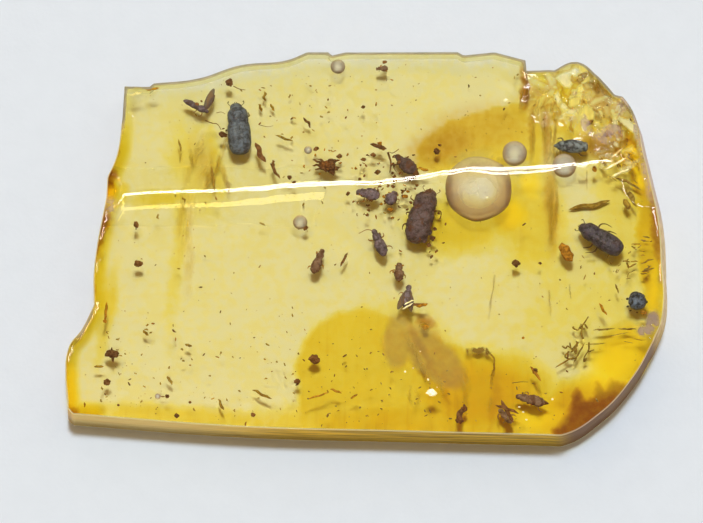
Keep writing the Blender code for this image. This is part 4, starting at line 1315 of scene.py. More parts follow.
oddInsects = {
    # each lump: centre, half sizes, how blunt, rings round it, facets, how worn, and what it is a part of;
    # each leg: hip, knee, shin, foot and thickness; each wing: root, tip, width and bend
    "round_insect": {
        "seed": 20, "place": (1.22, 2.5), "heading": -30, "chitin": "plum", "bits": (7, 0.3, 0.34, 0.1),
        "lumps": [((0, -0.03, 0), (0.3, 0.33, 0.26), 2.1, 4, 40, 2.2, "body"),
                  ((0, 0.3, 0), (0.16, 0.13, 0.14), 2, 0, 24, 1.0, "body")],
        "legs": [((0.16, 0.1, -0.1), (0.34, 0.16, -0.12), (0.4, 0.05, -0.15), (0.42, -0.08, -0.2), 0.022)],
    },
    "winged_insect": {  # a slender body, with its wings closed over one another and held out to one side
        "seed": 21, "place": (-8.56, 7.28), "heading": -117, "chitin": "plum",
        "lumps": [((0, -0.22, 0), (0.16, 0.5, 0.15), 2, 6, 40, 2.4, "body"),
                  ((0, 0.3, 0), (0.19, 0.25, 0.17), 2, 0, 28, 2.4, "body"),
                  ((0, 0.57, 0), (0.11, 0.12, 0.11), 2, 0, 20, 1.0, "body"),
                  ((-0.1, -0.02, 0.06), (0.1, 0.12, 0.1), 2, 0, 16, 1.0, "limb")],
        "wings": [((-0.04, 0.46, 0.08), (-1.22, 0.38, 0.04), 0.36, 0.04),
                  ((-0.08, 0.52, 0.03), (-0.95, 0.56, 0.0), 0.24, 0.03)],
        "legs": [((0.08, 0.36, -0.06), (0.24, 0.44, -0.12), (0.34, 0.38, -0.16), (0.4, 0.28, -0.18), 0.022),
                 ((0.08, 0.1, -0.05), (0.22, 0.08, -0.1), (0.3, 0.02, -0.14), (0.34, -0.14, -0.18), 0.022)],
    },
    "striped_insect": {
        "seed": 22, "place": (2.0, -2.62), "heading": -10, "chitin": "plum",
        "lumps": [((0, -0.05, 0), (0.24, 0.52, 0.22), 2.1, 6, 44, 2.0, "body"),
                  ((0, 0.5, 0), (0.15, 0.16, 0.15), 2, 0, 28, 2.0, "body")],
        "wings": [((-0.06, 0.3, 0.17), (-0.34, -0.72, 0.15), 0.34, 0.03),
                  ((0.06, 0.3, 0.17), (0.34, -0.72, 0.15), 0.34, 0.03)],
        "tip": ([(0.1, -0.25, 0), (0.42, -0.3, 0.02), (0.78, -0.2, 0)], [0.06, 0.075, 0.03]),
        "legs": [((-0.1, 0.1, -0.05), (-0.3, 0.22, -0.1), (-0.4, 0.18, -0.14), (-0.44, 0.08, -0.16), 0.024)],
    },
    "wedge_insect": {
        "seed": 23, "place": (1.95, 4.25), "heading": 48, "chitin": "ruddy", "bits": (8, 0.36, 0.6, 0.12),
        "lumps": [((0, -0.12, 0), (0.36, 0.52, 0.28), 2.1, 5, 48, 2.4, "body"),
                  ((0.02, 0.42, 0), (0.17, 0.3, 0.17), 2, 0, 32, 2.4, "body"),
                  ((0, -0.62, 0), (0.16, 0.24, 0.14), 2, 0, 24, 2.0, "limb")],
        "legs": [((-0.1, 0.2, -0.05), (-0.42, 0.42, -0.08), (-0.56, 0.24, -0.1), (-0.6, 0.0, -0.12), 0.028)],
    },
    "branched_insect": {
        "seed": 24, "place": (6.95, -8.8), "heading": 40, "chitin": "dusky",
        "lumps": [((0, 0, 0), (0.17, 0.42, 0.16), 2, 5, 36, 2.4, "body"),
                  ((0, 0.4, 0), (0.13, 0.15, 0.13), 2, 0, 24, 1.0, "body")],
        "legs": [((-0.08, 0.25, 0), (-0.18, 0.35, 0.02), (-0.306, 0.27, 0), (-0.36, 0.13, -0.04), 0.04),
                 ((0.08, -0.17, 0), (0.21, -0.07, 0.02), (0.357, -0.15, 0), (0.42, -0.29, -0.04), 0.04)],
    },
}


def makeOddInsects():
    for name, own in oddInsects.items():
        insect = Insect(own["seed"])
        for centre, halfSizes, blunt, rings, facets, worn, part in own["lumps"]:
            relief = ringRelief(rings, 0.02) if rings else None
            insect.lump(centre, halfSizes, blunt, 2, relief, facets, part, worn=worn)
        for wing in own.get("wings", []):
            insect.wing(*wing)
        if "tip" in own:
            insect.limb(*own["tip"])
        for leg in own["legs"]:
            addLeg(insect, *leg)
        if "bits" in own:
            addBits(insect, *own["bits"])
        insect.settle(name, own["place"], own["heading"], chitinPaints[own["chitin"]])


makeBeetles()
makePointedBeetle()
makeCurledBeetle()
makeSlimInsects()
makeOddInsects()
print("insects are made")

# Loose matter: wood crumbs, splinters, threads, flow lines and dust, all sealed in the resin
tones = {"brown": 0.15, "rusty": 0.45, "olive": 0.7, "pale": 1.0}  # where each lies on the colour ramp; pale chips are painted glints and highlights
woodColours = [
    (0.0, (0.15, 0.06, 0.03)), (0.15, (0.27, 0.12, 0.05)), (0.3, (0.42, 0.16, 0.04)),
    (0.45, (0.72, 0.32, 0.02)), (0.6, (0.7, 0.4, 0.05)), (0.7, (0.46, 0.3, 0.06)),
    (0.85, (0.6, 0.45, 0.15)), (1.0, (1.0, 0.97, 0.85)),
]
woodLooks = {
    "grainDark": (0.5, 0.42, 0.36),  # what the grain multiplies the colour by
    "grainLight": (1.1, 1.1, 1.1),
    "patch": (0.6, 0.5, 0.45),
    "unlit": (0.0, 0.0, 0.0),
    "glint": (0.6, 0.53, 0.24),  # painted glint: the palest chips give off a little light
}

crumbs = {
    # place, size across, height in the slab
    "brown": [
        ((-6.9, 8.47), 0.42, 1.5), ((-11.55, 1.12), 0.34, 1.4), ((-11.47, -0.9), 0.5, 1.3),
        ((-13.0, -7.0), 0.35, 1.2), ((-12.75, -5.56), 0.62, 1.2), ((-7.2, 5.78), 0.46, 1.5),
        ((8.65, -0.85), 0.16, 1.2), ((0.0, 1.64), 0.22, 1.3), ((0.9, 9.55), 0.2, 1.4),
        ((-3.1, 1.0), 0.3, 1.2), ((-12.4, -8.25), 0.2, 1.6), ((-10.0, -7.78), 0.22, 1.5),
        ((-9.5, -8.77), 0.24, 1.5), ((-8.85, -8.04), 0.18, 1.3), ((-5.7, -8.72), 0.24, 1.5),
        ((-3.5, -6.96), 0.3, 1.2), ((-0.2, 7.23), 0.24, 1.3), ((3.5, 4.95), 0.34, 1.1),
        ((3.65, 5.25), 0.2, 1.3), ((4.05, 2.77), 0.24, 1.2), ((-2.65, -5.85), 0.7, 1.2),
        ((-2.55, 5.05), 0.26, 1.3), ((-1.4, 4.7), 0.3, 1.2), ((-3.9, 3.55), 0.3, 1.4),
        ((-3.65, 3.3), 0.22, 1.3), ((7.45, -0.85), 0.5, 1.2), ((4.6, -8.95), 0.4, 1.3),
        ((4.85, -8.4), 0.3, 1.3), ((-8.3, 7.5), 0.16, 1.5), ((8.4, -6.44), 0.2, 1.6),
        ((0.55, 3.85), 0.34, 1.2), ((1.6, 4.35), 0.26, 1.3), ((2.15, 3.5), 0.3, 1.2),
        ((2.5, 3.2), 0.2, 1.1), ((1.3, 3.1), 0.24, 1.3), ((-0.95, 2.75), 0.2, 1.2),
        ((3.3, 0.45), 0.3, 1.2), ((3.4, 0.9), 0.22, 1.3), ((3.1, 0.1), 0.24, 1.3),
        ((-0.2, 4.5), 0.3, 1.3), ((0.3, 4.75), 0.26, 1.2), ((-1.7, 3.75), 0.22, 1.4),
    ],
    "rusty": [
        ((-13.1, -3.9), 0.22, 1.5), ((11.4, 4.0), 0.3, 1.4), ((13.8, -3.44), 0.34, 1.4),
        ((7.8, -4.73), 0.14, 1.3), ((1.9, 2.6), 0.28, 1.2), ((2.05, 2.85), 0.2, 1.3),
        ((1.15, 1.95), 0.26, 1.1), ((0.7, 2.2), 0.2, 1.3), ((8.4, -6.5), 0.24, 1.4),
        ((2.9, -4.1), 0.34, 1.0), ((1.3, 1.5), 0.22, 1.2),
    ],
    # pale chips, painted glints that sparkle in the resin
    "pale": [
        ((3.25, -7.72), 0.5, 2.1), ((1.9, -6.6), 0.12, 2.0), ((3.05, -7.0), 0.13, 2.0),
        ((2.65, -5.55), 0.1, 2.0), ((9.25, -8.0), 0.12, 1.9), ((7.6, -8.4), 0.12, 1.9),
        ((7.8, -8.65), 0.13, 1.9), ((7.95, -9.05), 0.1, 1.9), ((6.0, 2.4), 0.14, 2.1),
        ((6.95, 7.5), 0.18, 1.8), ((2.3, -6.4), 0.08, 2.0), ((3.5, -7.4), 0.09, 2.0),
    ],
}

splinters = {
    # from, to, width, height in the slab
    "brown": [
        ((-4.85, 4.3), (-4.35, 3.5), 0.15, 1.3), ((-5.6, 5.36), (-5.1, 4.3), 0.26, 1.4),
        ((-4.75, 4.45), (-4.65, 4.1), 0.16, 1.4), ((-0.95, -0.28), (-1.35, -1.0), 0.13, 1.1),
        ((0.15, 5.26), (1.0, 5.0), 0.2, 1.5), ((-12.75, -5.2), (-12.7, -6.0), 0.14, 1.3),
        ((-12.95, -5.55), (-12.4, -5.7), 0.12, 1.4), ((6.7, -7.9), (7.3, -9.1), 0.22, 1.2),
        ((6.4, -8.2), (7.6, -8.6), 0.16, 1.4), ((7.6, -7.8), (9.1, -8.1), 0.3, 1.1),
        ((4.85, -8.1), (4.5, -9.15), 0.3, 1.2), ((-3.2, 6.7), (-2.8, 6.2), 0.13, 1.2),
    ],
    "olive": [
        ((-4.6, 5.78), (-3.7, 5.47), 0.12, 1.2), ((10.1, 2.1), (12.2, 2.52), 0.24, 0.25),
        ((12.4, 3.6), (13.7, 2.93), 0.14, 1.1), ((13.0, 2.83), (13.5, 2.05), 0.12, 1.1),
        ((12.85, 2.5), (13.15, 1.95), 0.3, 1.0), ((-13.65, -6.18), (-13.15, -6.18), 0.12, 1.2),
        ((-11.2, -4.27), (-10.95, -4.58), 0.14, 1.0), ((-9.1, -4.99), (-8.75, -5.14), 0.14, 1.0),
        ((-10.0, -6.65), (-9.7, -7.06), 0.15, 1.0), ((-7.45, -7.84), (-7.15, -8.41), 0.14, 1.0),
        ((-5.75, -7.37), (-4.75, -7.84), 0.14, 1.0), ((13.7, -0.9), (14.35, -0.59), 0.08, 1.2),
        ((13.05, -1.11), (13.5, -0.85), 0.08, 1.2), ((13.7, -1.31), (14.4, -1.11), 0.07, 1.2),
        ((-9.25, 2.57), (-9.1, 2.3), 0.1, 1.3), ((-10.5, 1.68), (-10.45, 1.4), 0.1, 1.3),
        ((-9.45, 5.6), (-9.3, 4.9), 0.1, 1.1), ((-7.8, 4.2), (-7.65, 3.0), 0.13, 1.1),
        ((9.4, -6.2), (10.4, -5.6), 0.08, 0.9), ((10.3, -6.0), (10.9, -4.9), 0.08, 0.9),
        ((-5.4, 1.25), (-5.1, 1.15), 0.08, 1.2), ((12.4, -1.9), (12.6, -2.4), 0.08, 1.1),
        ((-5.15, 8.15), (-5.1, 7.6), 0.15, 0.7), ((-5.45, 7.48), (-5.25, 7.1), 0.14, 0.7),
        ((-4.85, 7.5), (-4.65, 7.1), 0.12, 0.7),
    ],
    "rusty": [
        ((11.6, -2.97), (12.0, -3.59), 0.13, 1.5), ((-3.0, -7.94), (-1.9, -7.58), 0.09, 1.5),
        ((-1.85, -7.42), (-1.25, -7.58), 0.12, 1.5), ((-0.85, -7.89), (-0.45, -7.68), 0.1, 1.5),
        ((8.15, -6.23), (8.7, -7.01), 0.15, 1.5), ((9.75, 0.2), (10.2, -0.8), 0.5, 1.3),
        ((2.45, -3.1), (3.05, -3.0), 0.16, 1.3),
        ((-11.1, 8.0), (-10.4, 8.08), 0.12, 2.0),
        ((-13.0, -2.9), (-13.1, -3.9), 0.14, 1.5), ((2.55, 4.0), (3.1, 3.9), 0.14, 1.5),
        ((0.5, 5.35), (0.9, 4.95), 0.24, 1.4),
    ],
    # pale slivers, painted highlights: bright strokes beside the ridge's line, cream strokes in the
    # splintered corner and light stripes on the striped insect
    "pale": [
        ((10.5, 4.0), (11.1, 4.16), 0.2, 1.95), ((11.2, 4.18), (11.6, 4.28), 0.16, 1.95),
        ((11.8, 4.3), (12.1, 4.4), 0.12, 1.9), ((11.9, 3.9), (13.0, 4.5), 0.1, 1.8),
        ((12.3, 3.55), (13.1, 3.95), 0.08, 1.8), ((12.2, 4.5), (12.8, 4.95), 0.09, 1.8),
        ((-11.9, 7.75), (-11.3, 7.85), 0.14, 1.9), ((1.75, -3.3), (2.3, -3.0), 0.08, 1.55),
        ((1.85, -3.05), (2.35, -2.78), 0.07, 1.55),
    ],
}

threads = [
    # points along each, and its thickness
    ([(-8.1, 6.5, 1.5), (-7.75, 6.35, 1.5), (-7.5, 6.3, 1.5), (-7.3, 6.0, 1.5)], 0.05),
    ([(1.05, 4.85, 1.4), (1.2, 4.3, 1.4), (1.15, 3.8, 1.4)], 0.11),
    ([(7.25, -7.11, 1.6), (7.7, -7.05, 1.6), (8.05, -7.06, 1.6)], 0.035),
    ([(1.6, 5.0, 1.5), (1.3, 4.8, 1.5), (1.1, 4.85, 1.5)], 0.045),
    ([(-6.7, 8.3, 1.4), (-6.4, 8.15, 1.4), (-6.1, 8.1, 1.4)], 0.045),
    ([(-5.4, 6.3, 1.3), (-5.0, 6.2, 1.3), (-4.7, 6.25, 1.3)], 0.03),
    ([(-7.55, 6.9, 1.4), (-7.3, 6.95, 1.4), (-7.1, 6.85, 1.4)], 0.03),
    ([(3.3, 1.9, 1.3), (3.7, 1.75, 1.3), (3.65, 1.3, 1.3)], 0.045),
]

# slivers strewn at random: middle and half size of the patch, how many, length, width, the way they point in
# degrees left of +X with how far they stray from it, height in the slab, and kind
scatter = [
    ((13.6, -0.5), (0.8, 1.2), 22, 0.36, 0.07, (20, 40), 1.1, "olive"),
    ((1.2, 3.4), (1.6, 1.4), 34, 0.2, 0.12, (0, 90), 1.1, "brown"),
    ((0.9, 3.0), (1.7, 1.6), 20, 0.18, 0.1, (0, 90), 1.2, "brown"),
    ((0.7, 3.2), (1.5, 1.3), 10, 0.16, 0.09, (0, 90), 1.2, "rusty"),
    ((-4.3, 7.2), (2.3, 1.5), 16, 0.2, 0.07, (-60, 60), 0.8, "olive"),
    ((-6.3, -7.2), (7.2, 1.7), 46, 0.17, 0.07, (0, 90), 1.2, "olive"),
    ((-10.8, -5.0), (2.4, 1.2), 16, 0.2, 0.08, (-40, 70), 1.2, "olive"),
    ((12.6, -4.6), (1.2, 0.5), 9, 0.9, 0.06, (0, 12), 0.9, "olive"),
    ((11.8, 6.2), (1.7, 1.5), 8, 0.5, 0.1, (50, 60), 1.5, "rusty"),
    ((12.6, 3.6), (0.9, 1.0), 8, 0.6, 0.07, (-40, 25), 1.4, "olive"),
    ((-1.9, 4.3), (1.3, 0.8), 14, 0.16, 0.08, (0, 90), 1.2, "rusty"),
    ((3.4, 0.6), (0.6, 1.2), 5, 0.2, 0.1, (0, 90), 1.1, "brown"),
    ((4.6, -7.6), (4.4, 1.5), 22, 0.18, 0.07, (0, 90), 1.2, "olive"),
    ((11.9, -0.9), (1.4, 0.7), 12, 0.34, 0.06, (80, 50), 1.0, "olive"),
]

tangle = {
    "middle": (10.4, -4.9, 0.9),
    "spread": (0.7, 0.95, 0.2),
    "count": 11,
    "step": 0.34,
    "thick": 0.1,
}

strewn = {
    "sliverSeed": 31,
    "sliverInset": 0.7,  # how far from the slab's edge they stay
    "streakSeed": 57,
    "streakInset": 0.9,
}

# soft streaks deep in the resin: points along each, width, how brown it is, how dense
ribbonHeight = 0.6
ribbons = [
    ([(-7.65, 5.1), (-7.9, 3.9), (-8.1, 3.0)], 0.3, 0.55, 0.5),
    ([(-8.2, 6.1), (-8.6, 4.9), (-9.0, 3.3)], 0.3, 0.45, 0.35),
    ([(-7.25, 4.4), (-7.05, 3.5), (-6.95, 2.8)], 0.3, 0.8, 0.6),
    ([(-9.1, 3.4), (-9.3, 2.0), (-9.6, 0.4)], 0.4, 0.3, 0.3),
    ([(-8.9, 4.6), (-8.95, 1.0), (-8.9, -2.7)], 0.6, 0.2, 0.3),
    ([(-6.85, 6.6), (-7.2, 5.2), (-7.6, 3.9)], 0.3, 0.3, 0.4),
    ([(-8.9, 5.2), (-8.8, 4.7), (-8.7, 4.2)], 0.22, 0.5, 0.5),
    ([(-7.4, 4.9), (-7.5, 4.3), (-7.9, 3.4)], 0.18, 0.65, 0.5),
    ([(8.35, 8.0), (8.3, 6.2), (8.25, 4.3)], 0.3, 0.6, 0.5),
    ([(8.95, 7.6), (8.9, 6.0), (9.05, 4.2)], 0.35, 0.5, 0.5),
    ([(9.5, 7.2), (9.4, 5.8), (9.3, 4.4)], 0.2, 0.7, 0.5),
    ([(7.97, 9.1), (8.02, 8.4), (7.98, 7.5)], 0.24, 0.85, 1.0),
    ([(7.7, 8.4), (7.78, 7.8), (7.68, 7.2)], 0.25, 0.7, 0.8),
    ([(9.15, 3.7), (9.25, 1.8), (9.3, 0.1)], 0.4, 0.55, 0.5),
    ([(9.45, 3.6), (9.5, 2.2), (9.4, 0.8)], 0.2, 0.7, 0.4),
    ([(6.4, -1.3), (6.25, -2.4), (6.05, -3.7)], 0.12, 0.6, 0.6),
    ([(9.1, -2.1), (9.15, -2.8), (9.2, -3.5)], 0.12, 0.6, 0.5),
    ([(10.15, -1.8), (10.15, -2.2), (10.2, -2.6)], 0.1, 0.6, 0.5),
    ([(11.03, 4.1), (11.0, 3.6), (11.05, 3.0)], 0.09, 0.8, 0.8),
    ([(11.1, 5.6), (11.8, 5.3), (12.6, 4.8)], 0.7, 0.6, 0.25),
    ([(9.55, 8.9), (9.9, 8.8), (10.25, 8.6)], 0.24, 0.7, 0.8),
    ([(10.5, 8.5), (10.8, 8.8), (11.15, 9.2)], 0.22, 0.75, 0.8),
    ([(10.9, 9.1), (11.3, 8.8), (11.55, 8.3)], 0.3, 0.6, 0.7),
    ([(10.05, 7.8), (10.5, 7.8), (10.9, 7.5)], 0.24, 0.7, 0.7),
    ([(12.05, 6.8), (12.6, 6.4), (13.1, 6.5)], 0.3, 0.9, 0.9),
    ([(11.3, 7.4), (11.4, 7.0), (11.6, 6.6)], 0.3, 0.5, 0.6),
    ([(13.0, 4.9), (13.4, 4.6), (13.6, 4.1)], 0.24, 0.8, 0.8),
    ([(12.6, 4.5), (13.1, 4.1), (13.4, 3.4)], 0.3, 0.6, 0.6),
    ([(-13.2, 1.4), (-13.25, 0.4), (-13.35, -0.6)], 0.3, 0.8, 0.7),
    ([(1.9, -4.3), (2.6, -5.6), (3.3, -7.1)], 0.34, 0.65, 0.8),
    ([(2.6, -3.9), (2.9, -4.0), (3.15, -4.2)], 0.4, 0.55, 0.8),
    ([(5.9, 4.7), (6.4, 4.6), (6.9, 4.5)], 0.5, 0.6, 0.4),
    # painted shade: two dark strips stand for the shaded cap and side of a domed bubble, which is not
    # modelled
    ([(5.0, -5.5), (5.35, -5.25), (5.8, -5.25), (6.15, -5.5)], 0.36, 0.95, 1.8),
    ([(5.9, -5.2), (6.3, -5.6), (6.35, -6.1), (6.2, -6.6)], 0.12, 0.85, 1.8),
]

# streaks strewn at random: middle and half size of the patch, how many, length, width, the way they point in
# degrees left of +X with how far they stray from it, height in the slab, how brown and how dense
streaks = [
    ((11.2, 7.4), (2.0, 1.7), 16, 1.0, 0.22, (-55, 25), 1.3, 0.72, 0.7),
    # pale cream streaks (brownness 0), painted highlights
    ((11.3, 7.4), (2.2, 1.7), 8, 0.9, 0.3, (-50, 50), 1.5, 0.0, 0.8),
    ((13.2, 4.9), (0.8, 1.3), 9, 0.8, 0.22, (-55, 40), 1.3, 0.8, 0.7),
    # pale cream streaks (brownness 0), painted highlights
    ((12.6, 4.3), (0.9, 0.6), 7, 0.9, 0.24, (25, 15), 1.5, 0.0, 0.8),
    ((9.0, 6.0), (0.8, 1.7), 10, 1.6, 0.16, (-90, 12), 0.8, 0.6, 0.5),
    ((5.4, -7.6), (3.2, 1.2), 9, 1.2, 0.3, (-85, 20), 0.6, 0.6, 0.3),
    ((-8.3, 4.4), (1.0, 1.0), 7, 1.1, 0.18, (-112, 10), 0.7, 0.5, 0.35),
]
# the palest stop, cream, is for streaks painted as highlights
flowColours = [
    (0.0, (1.0, 0.93, 0.6)), (0.2, (1.0, 0.74, 0.08)), (0.5, (0.5, 0.33, 0.03)), (0.75, (0.44, 0.22, 0.02)),
    (1.0, (0.22, 0.12, 0.04)),
]

frass = {
    "place": (-1.95, 4.2),
    "seed": 11,
    "count": 34,
    "spread": (0.52, 0.26),
    "size": (0.16, 0.4),
    "deep": 0.14,
    "spikeWide": 0.11,
    # from and to, counted from the middle of the clump
    "spikes": [
        ((-0.2, 0.1), (-0.78, 0.32)), ((-0.2, 0.0), (-0.8, 0.02)), ((-0.1, 0.12), (-0.5, 0.36)),
        ((0.2, 0.1), (0.58, 0.3)), ((0.25, -0.05), (0.62, -0.12)), ((-0.2, -0.1), (-0.62, -0.22)),
        ((0.0, 0.1), (0.08, 0.36)), ((0.1, -0.1), (0.3, -0.25)),
    ],
}

dust = {
    "seed": 7,
    "count": 620,
    "small": 0.025,
    "large": 0.13,
    "inset": 0.4,
    "low": 0.3,
    "high": 2.1,
    "tones": (0.05, 0.15, 0.25, 0.35, 0.7, 0.8),
}


def innerOutline(distance):
    # the slab's outline, drawn in so that loose matter stays off the edge
    return insetLoop(outlineLoop(outline, 0.5), distance)


def within(loop, x, y):
    return any(left < x < right for left, right in crossings(loop, y))


def newCrumbs():
    work = bmesh.new()
    return work, work.verts.layers.float.new("tone")


def addCrumb(work, mark, tone, place, size, z, seed, flat=0.7):
    # a chip with broken faces: a ball pushed in where it meets random planes
    detail = 4 if size > 0.25 else 3
    made = bmesh.ops.create_icosphere(work, subdivisions=detail, radius=1)
    pick = random.Random(seed)
    planes = []
    for k in range(9):
        way = Vector((pick.uniform(-1, 1), pick.uniform(-1, 1), pick.uniform(-1, 1))).normalized()
        planes.append((way, pick.uniform(0.5, 0.85)))
    shift = Vector((seed * 1.7, seed * 0.9, seed * 2.3))
    stretch = Vector((pick.uniform(0.8, 1.2), pick.uniform(0.7, 1.1), flat))
    for vertex in made["verts"]:
        spot = vertex.co.copy()
        for way, level in planes:
            over = spot.dot(way) - level
            if over > 0:
                spot -= way * over * 0.92
        spot *= 1 + noise.noise(spot * 2.2 + shift) * 0.35 + noise.noise(spot * 6 + shift) * 0.12
        spot = Vector((spot.x * stretch.x, spot.y * stretch.y, spot.z * stretch.z)) * size / 2
        vertex.co = (Vector((*place, z)) + spot) * mm
        vertex[mark] = tone


def addSplinter(work, mark, tone, start, end, width, z, seed, around=16):
    # a sliver of wood with grain along it and torn ends
    start, end = Vector((*start, z)), Vector((*end, z + 0.12 * math.sin(seed * 2.1)))
    way = end - start
    side = Vector((-way.y, way.x, 0)).normalized()
    up = Vector((0, 0, 1))
    rows = []
    steps = max(8, int(way.length / 0.04))
    shift = Vector((seed * 3.3, seed * 1.1, 0))
    for step in range(steps + 1):
        t = step / steps
        taper = min(1.0, (1 - abs(2 * t - 1) ** 3) * 1.05 + 0.04)
        wander = noise.noise(Vector((t * 2.5, seed, 0))) * width * 0.7
        row = []
        for k in range(around):
            angle = 2 * math.pi * k / around
            grain = 1 + 0.3 * noise.noise(Vector((t * 3, math.cos(angle) * 3, math.sin(angle) * 3)) + shift)
            torn = 1 - 0.5 * max(0.0, noise.noise(Vector((t * 9, k * 0.8, 5)) + shift)) * abs(2 * t - 1)
            reach = taper * grain * torn * width / 2
            sideways = wander + math.cos(angle) * reach
            spot = start + way * t + side * sideways + up * math.sin(angle) * reach * 0.6
            row.append(work.verts.new(spot * mm))
            row[-1][mark] = tone
        rows.append(row)
    skin(work, rows, ends=True)


def addThread(work, mark, tone, points, thick):
    path = smoothPath([Vector(p) for p in points], [thick / 2] * len(points), 8)
    rows = []
    for k, (spot, radius, way) in enumerate(path):
        thin = 1 - 0.5 * k / len(path)
        rows.append([work.verts.new((spot + rim * radius * thin) * mm) for rim in circleAcross(way, 6)])
        for vertex in rows[-1]:
            vertex[mark] = tone
    skin(work, rows, ends=True)


def addRibbon(work, mark, fadeMark, points, wide, z, tone, dense, seed):
    # a flat strip that fades out towards its sides and ends
    path = smoothPath([Vector((*p, z)) for p in points], [wide / 2] * len(points), 10)
    rows = []
    for k, (spot, half, way) in enumerate(path):
        side = Vector((-way.y, way.x, 0)).normalized()
        ragged = 1 + 0.7 * noise.noise(Vector((k * 0.35, seed, 0)))
        wander = noise.noise(Vector((k * 0.2, seed, 4))) * half * 0.8
        row = []
        for across in (-1.0, -0.6, -0.2, 0.2, 0.6, 1.0):
            vertex = work.verts.new((spot + side * (wander + across * half * ragged)) * mm)
            vertex[mark] = tone
            vertex[fadeMark] = dense * (1 - across**2) * math.sin(math.pi * k / (len(path) - 1)) ** 0.6
            row.append(vertex)
        rows.append(row)
    skin(work, rows, closed=False)


def woodPaint():
    # wood with grain, and pale chips that stand for glints and highlights
    paint = Paint("wood")
    where = paint.place()
    grain = paint.cloud(paint.stretch(where, (6.0, 6.0, 14.0)), 1.0, 4.0)
    fine = paint.cloud(where, 18.0, 2.0)
    patches = paint.cloud(where, 1.4, 2.0)
    colour = paint.ramp(paint.mark("tone"), woodColours)
    shade = paint.mix(grain.step(0.35, 0.65), woodLooks["grainDark"], woodLooks["grainLight"])
    shade = paint.mix(patches.step(0.5, 0.65) * 0.5, shade, woodLooks["patch"])
    relief = paint.bump(grain * 0.7 + fine * 0.3, 0.03, 0.8)
    # painted glint on the palest chips
    glint = paint.mark("tone").step(0.93, 0.94)
    shader = paint.shader({
        "Base Color": paint.mix(1.0, colour, shade, "MULTIPLY"), "Roughness": 0.75 - fine * 0.2,
        "Normal": relief, "Specular IOR Level": 0.3,
        "Emission Color": paint.mix(glint, woodLooks["unlit"], woodLooks["glint"]), "Emission Strength": 1.0,
    })
    return paint.finish(shader)


def flowPaint():
    # thin veils of darker resin, and pale cream ones painted as highlights
    paint = Paint("flow lines")
    where = paint.place()
    strands = paint.cloud(paint.stretch(where, (3.0, 0.6, 1.0)), 1.2, 4.0)
    colour = paint.ramp(paint.mark("tone"), flowColours)
    shader = paint.shader({
        "Base Color": colour, "Roughness": 0.8, "Specular IOR Level": 0.1,
        "Alpha": (paint.mark("fade") * (0.35 + strands.step(0.3, 0.7) * 0.9)).least(0.9),
    })
    return paint.finish(shader)


wood = woodPaint()


def makeLooseMatter():
    work, mark = newCrumbs()
    for kind, tone in tones.items():
        for seed, (place, size, z) in enumerate(crumbs.get(kind, [])):
            addCrumb(work, mark, tone + 0.06 * math.sin(seed), place, size, z, seed + len(kind))
        for seed, (start, end, width, z) in enumerate(splinters.get(kind, [])):
            addSplinter(work, mark, tone + 0.04 * math.sin(seed), start, end, width, z, seed + 3)
    for points, thick in threads:
        addThread(work, mark, tones["brown"], points, thick)
    newPiece("wood_pieces", meshOf(work, "wood pieces"), wood)


def makeScatter():
    work, mark = newCrumbs()
    pick = random.Random(strewn["sliverSeed"])
    inside = innerOutline(strewn["sliverInset"])
    for middle, spread, count, long, wide, (heading, stray), z, kind in scatter:
        for _ in range(count):
            turn = math.radians(heading + pick.uniform(-stray, stray))
            reach = long * pick.uniform(0.25, 0.6)
            x = middle[0] + spread[0] * pick.uniform(-1, 1)
            y = middle[1] + spread[1] * pick.uniform(-1, 1)
            way = (math.cos(turn) * reach, math.sin(turn) * reach)
            width = wide * pick.uniform(0.5, 1.3)
            tone = tones[kind] + pick.uniform(-0.1, 0.1)
            height = z + pick.uniform(-0.25, 0.25)
            if not within(inside, x, y):
                continue
            addSplinter(work, mark, tone, (x - way[0], y - way[1]), (x + way[0], y + way[1]), width, height,
                        pick.uniform(0, 90), 8)
    middle, spread = Vector(tangle["middle"]), Vector(tangle["spread"])
    for _ in range(tangle["count"]):
        spot = middle + Vector([wide * pick.uniform(-1, 1) for wide in spread])
        points = [spot]
        for _ in range(3):
            points.append(points[-1] + Vector([tangle["step"] * pick.uniform(-1, 1) for _ in range(3)]))
            points[-1].z = middle.z + pick.uniform(-0.2, 0.2)
        addThread(work, mark, tones["olive"], points, tangle["thick"])
    newPiece("slivers", meshOf(work, "slivers"), wood)


def makeFlowLines():
    work, mark = newCrumbs()
    fadeMark = work.verts.layers.float.new("fade")
    for seed, (points, wide, tone, dense) in enumerate(ribbons):
        addRibbon(work, mark, fadeMark, points, wide, ribbonHeight, tone, dense, seed * 3.7)
    pick = random.Random(strewn["streakSeed"])
    inside = innerOutline(strewn["streakInset"])
    for middle, spread, count, long, wide, (heading, stray), z, tone, dense in streaks:
        for _ in range(count):
            turn = math.radians(heading + pick.uniform(-stray, stray))
            way = Vector((math.cos(turn), math.sin(turn))) * long * pick.uniform(0.3, 0.6)
            x = middle[0] + spread[0] * pick.uniform(-1, 1)
            y = middle[1] + spread[1] * pick.uniform(-1, 1)
            spot = Vector((x, y))
            bend = Vector((-way.y, way.x)) * pick.uniform(-0.3, 0.3)
            width = wide * pick.uniform(0.5, 1.2)
            if within(inside, spot.x, spot.y):
                addRibbon(work, mark, fadeMark, [spot - way, spot + bend, spot + way], width, z, tone, dense,
                          pick.uniform(0, 99))
    newPiece("flow_lines", meshOf(work, "flow lines"), flowPaint())


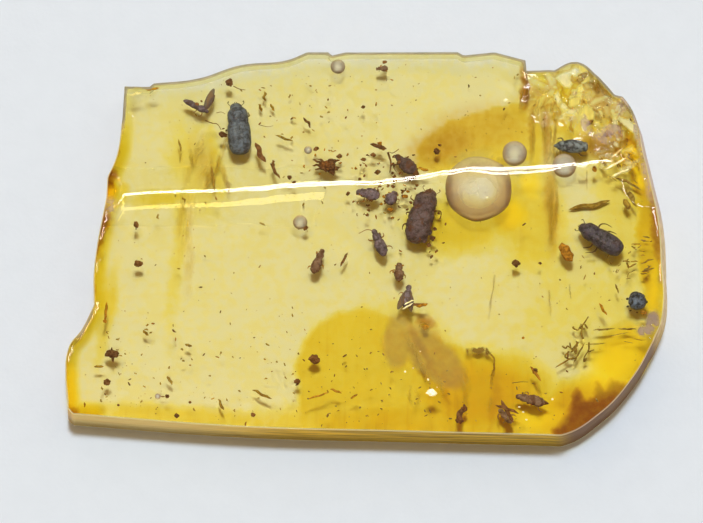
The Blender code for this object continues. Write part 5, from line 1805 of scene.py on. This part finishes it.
def makeFrassClump():
    # a lump of crumbs with points standing out at its left
    work, mark = newCrumbs()
    x, y = frass["place"]
    wide, long = frass["spread"]
    pick = random.Random(frass["seed"])
    for seed in range(frass["count"]):
        away = pick.random() ** 0.7
        turn = pick.uniform(0, math.tau)
        spot = (x + math.cos(turn) * away * wide, y + math.sin(turn) * away * long)
        tone = tones["brown"] + pick.uniform(-0.12, 0.13)
        size = pick.uniform(*frass["size"])
        height = slabMiddle + pick.uniform(-frass["deep"], frass["deep"])
        addCrumb(work, mark, tone, spot, size, height, seed + 60, 0.9)
    for seed, ((x0, y0), (x1, y1)) in enumerate(frass["spikes"]):
        start, end = (x + x0, y + y0), (x + x1, y + y1)
        addSplinter(work, mark, tones["brown"], start, end, frass["spikeWide"], slabMiddle, seed + 70)
    newPiece("frass_crumbs", meshOf(work, "frass"), wood, ("frass_clump",))


def makeDust():
    # fine specks, thicker at the left front and along the middle
    work, mark = newCrumbs()
    pick = random.Random(dust["seed"])
    inside = innerOutline(dust["inset"])
    made = 0
    while made < dust["count"]:
        y = pick.uniform(slabLow.y, slabHigh.y)
        x = pick.uniform(slabLow.x, slabHigh.x)
        crowd = 0.35 + 0.65 * smooth(-y, 3.0, 8.0) * smooth(-x, -4.0, 4.0) + 0.3 * smooth(y, 4.0, 7.0)
        if not within(inside, x, y) or pick.random() > crowd:
            continue
        size = dust["small"] + (dust["large"] - dust["small"]) * pick.random() ** 4
        z = pick.uniform(dust["low"], dust["high"])
        ball = bmesh.ops.create_icosphere(work, subdivisions=1, radius=size / 2 * mm)
        turn = Matrix.Rotation(pick.uniform(0, math.tau), 3, "Z")
        long = pick.uniform(1.0, 2.6)
        tone = pick.choice(dust["tones"])
        for vertex in ball["verts"]:
            spot = turn @ Vector((vertex.co.x * long, vertex.co.y * pick.uniform(0.6, 1), vertex.co.z))
            vertex.co = spot + Vector((x, y, z)) * mm
            vertex[mark] = tone
        made += 1
    newPiece("dust", meshOf(work, "dust"), wood)


makeLooseMatter()
makeScatter()
makeFlowLines()
makeFrassClump()
makeDust()
print("loose wood is made")
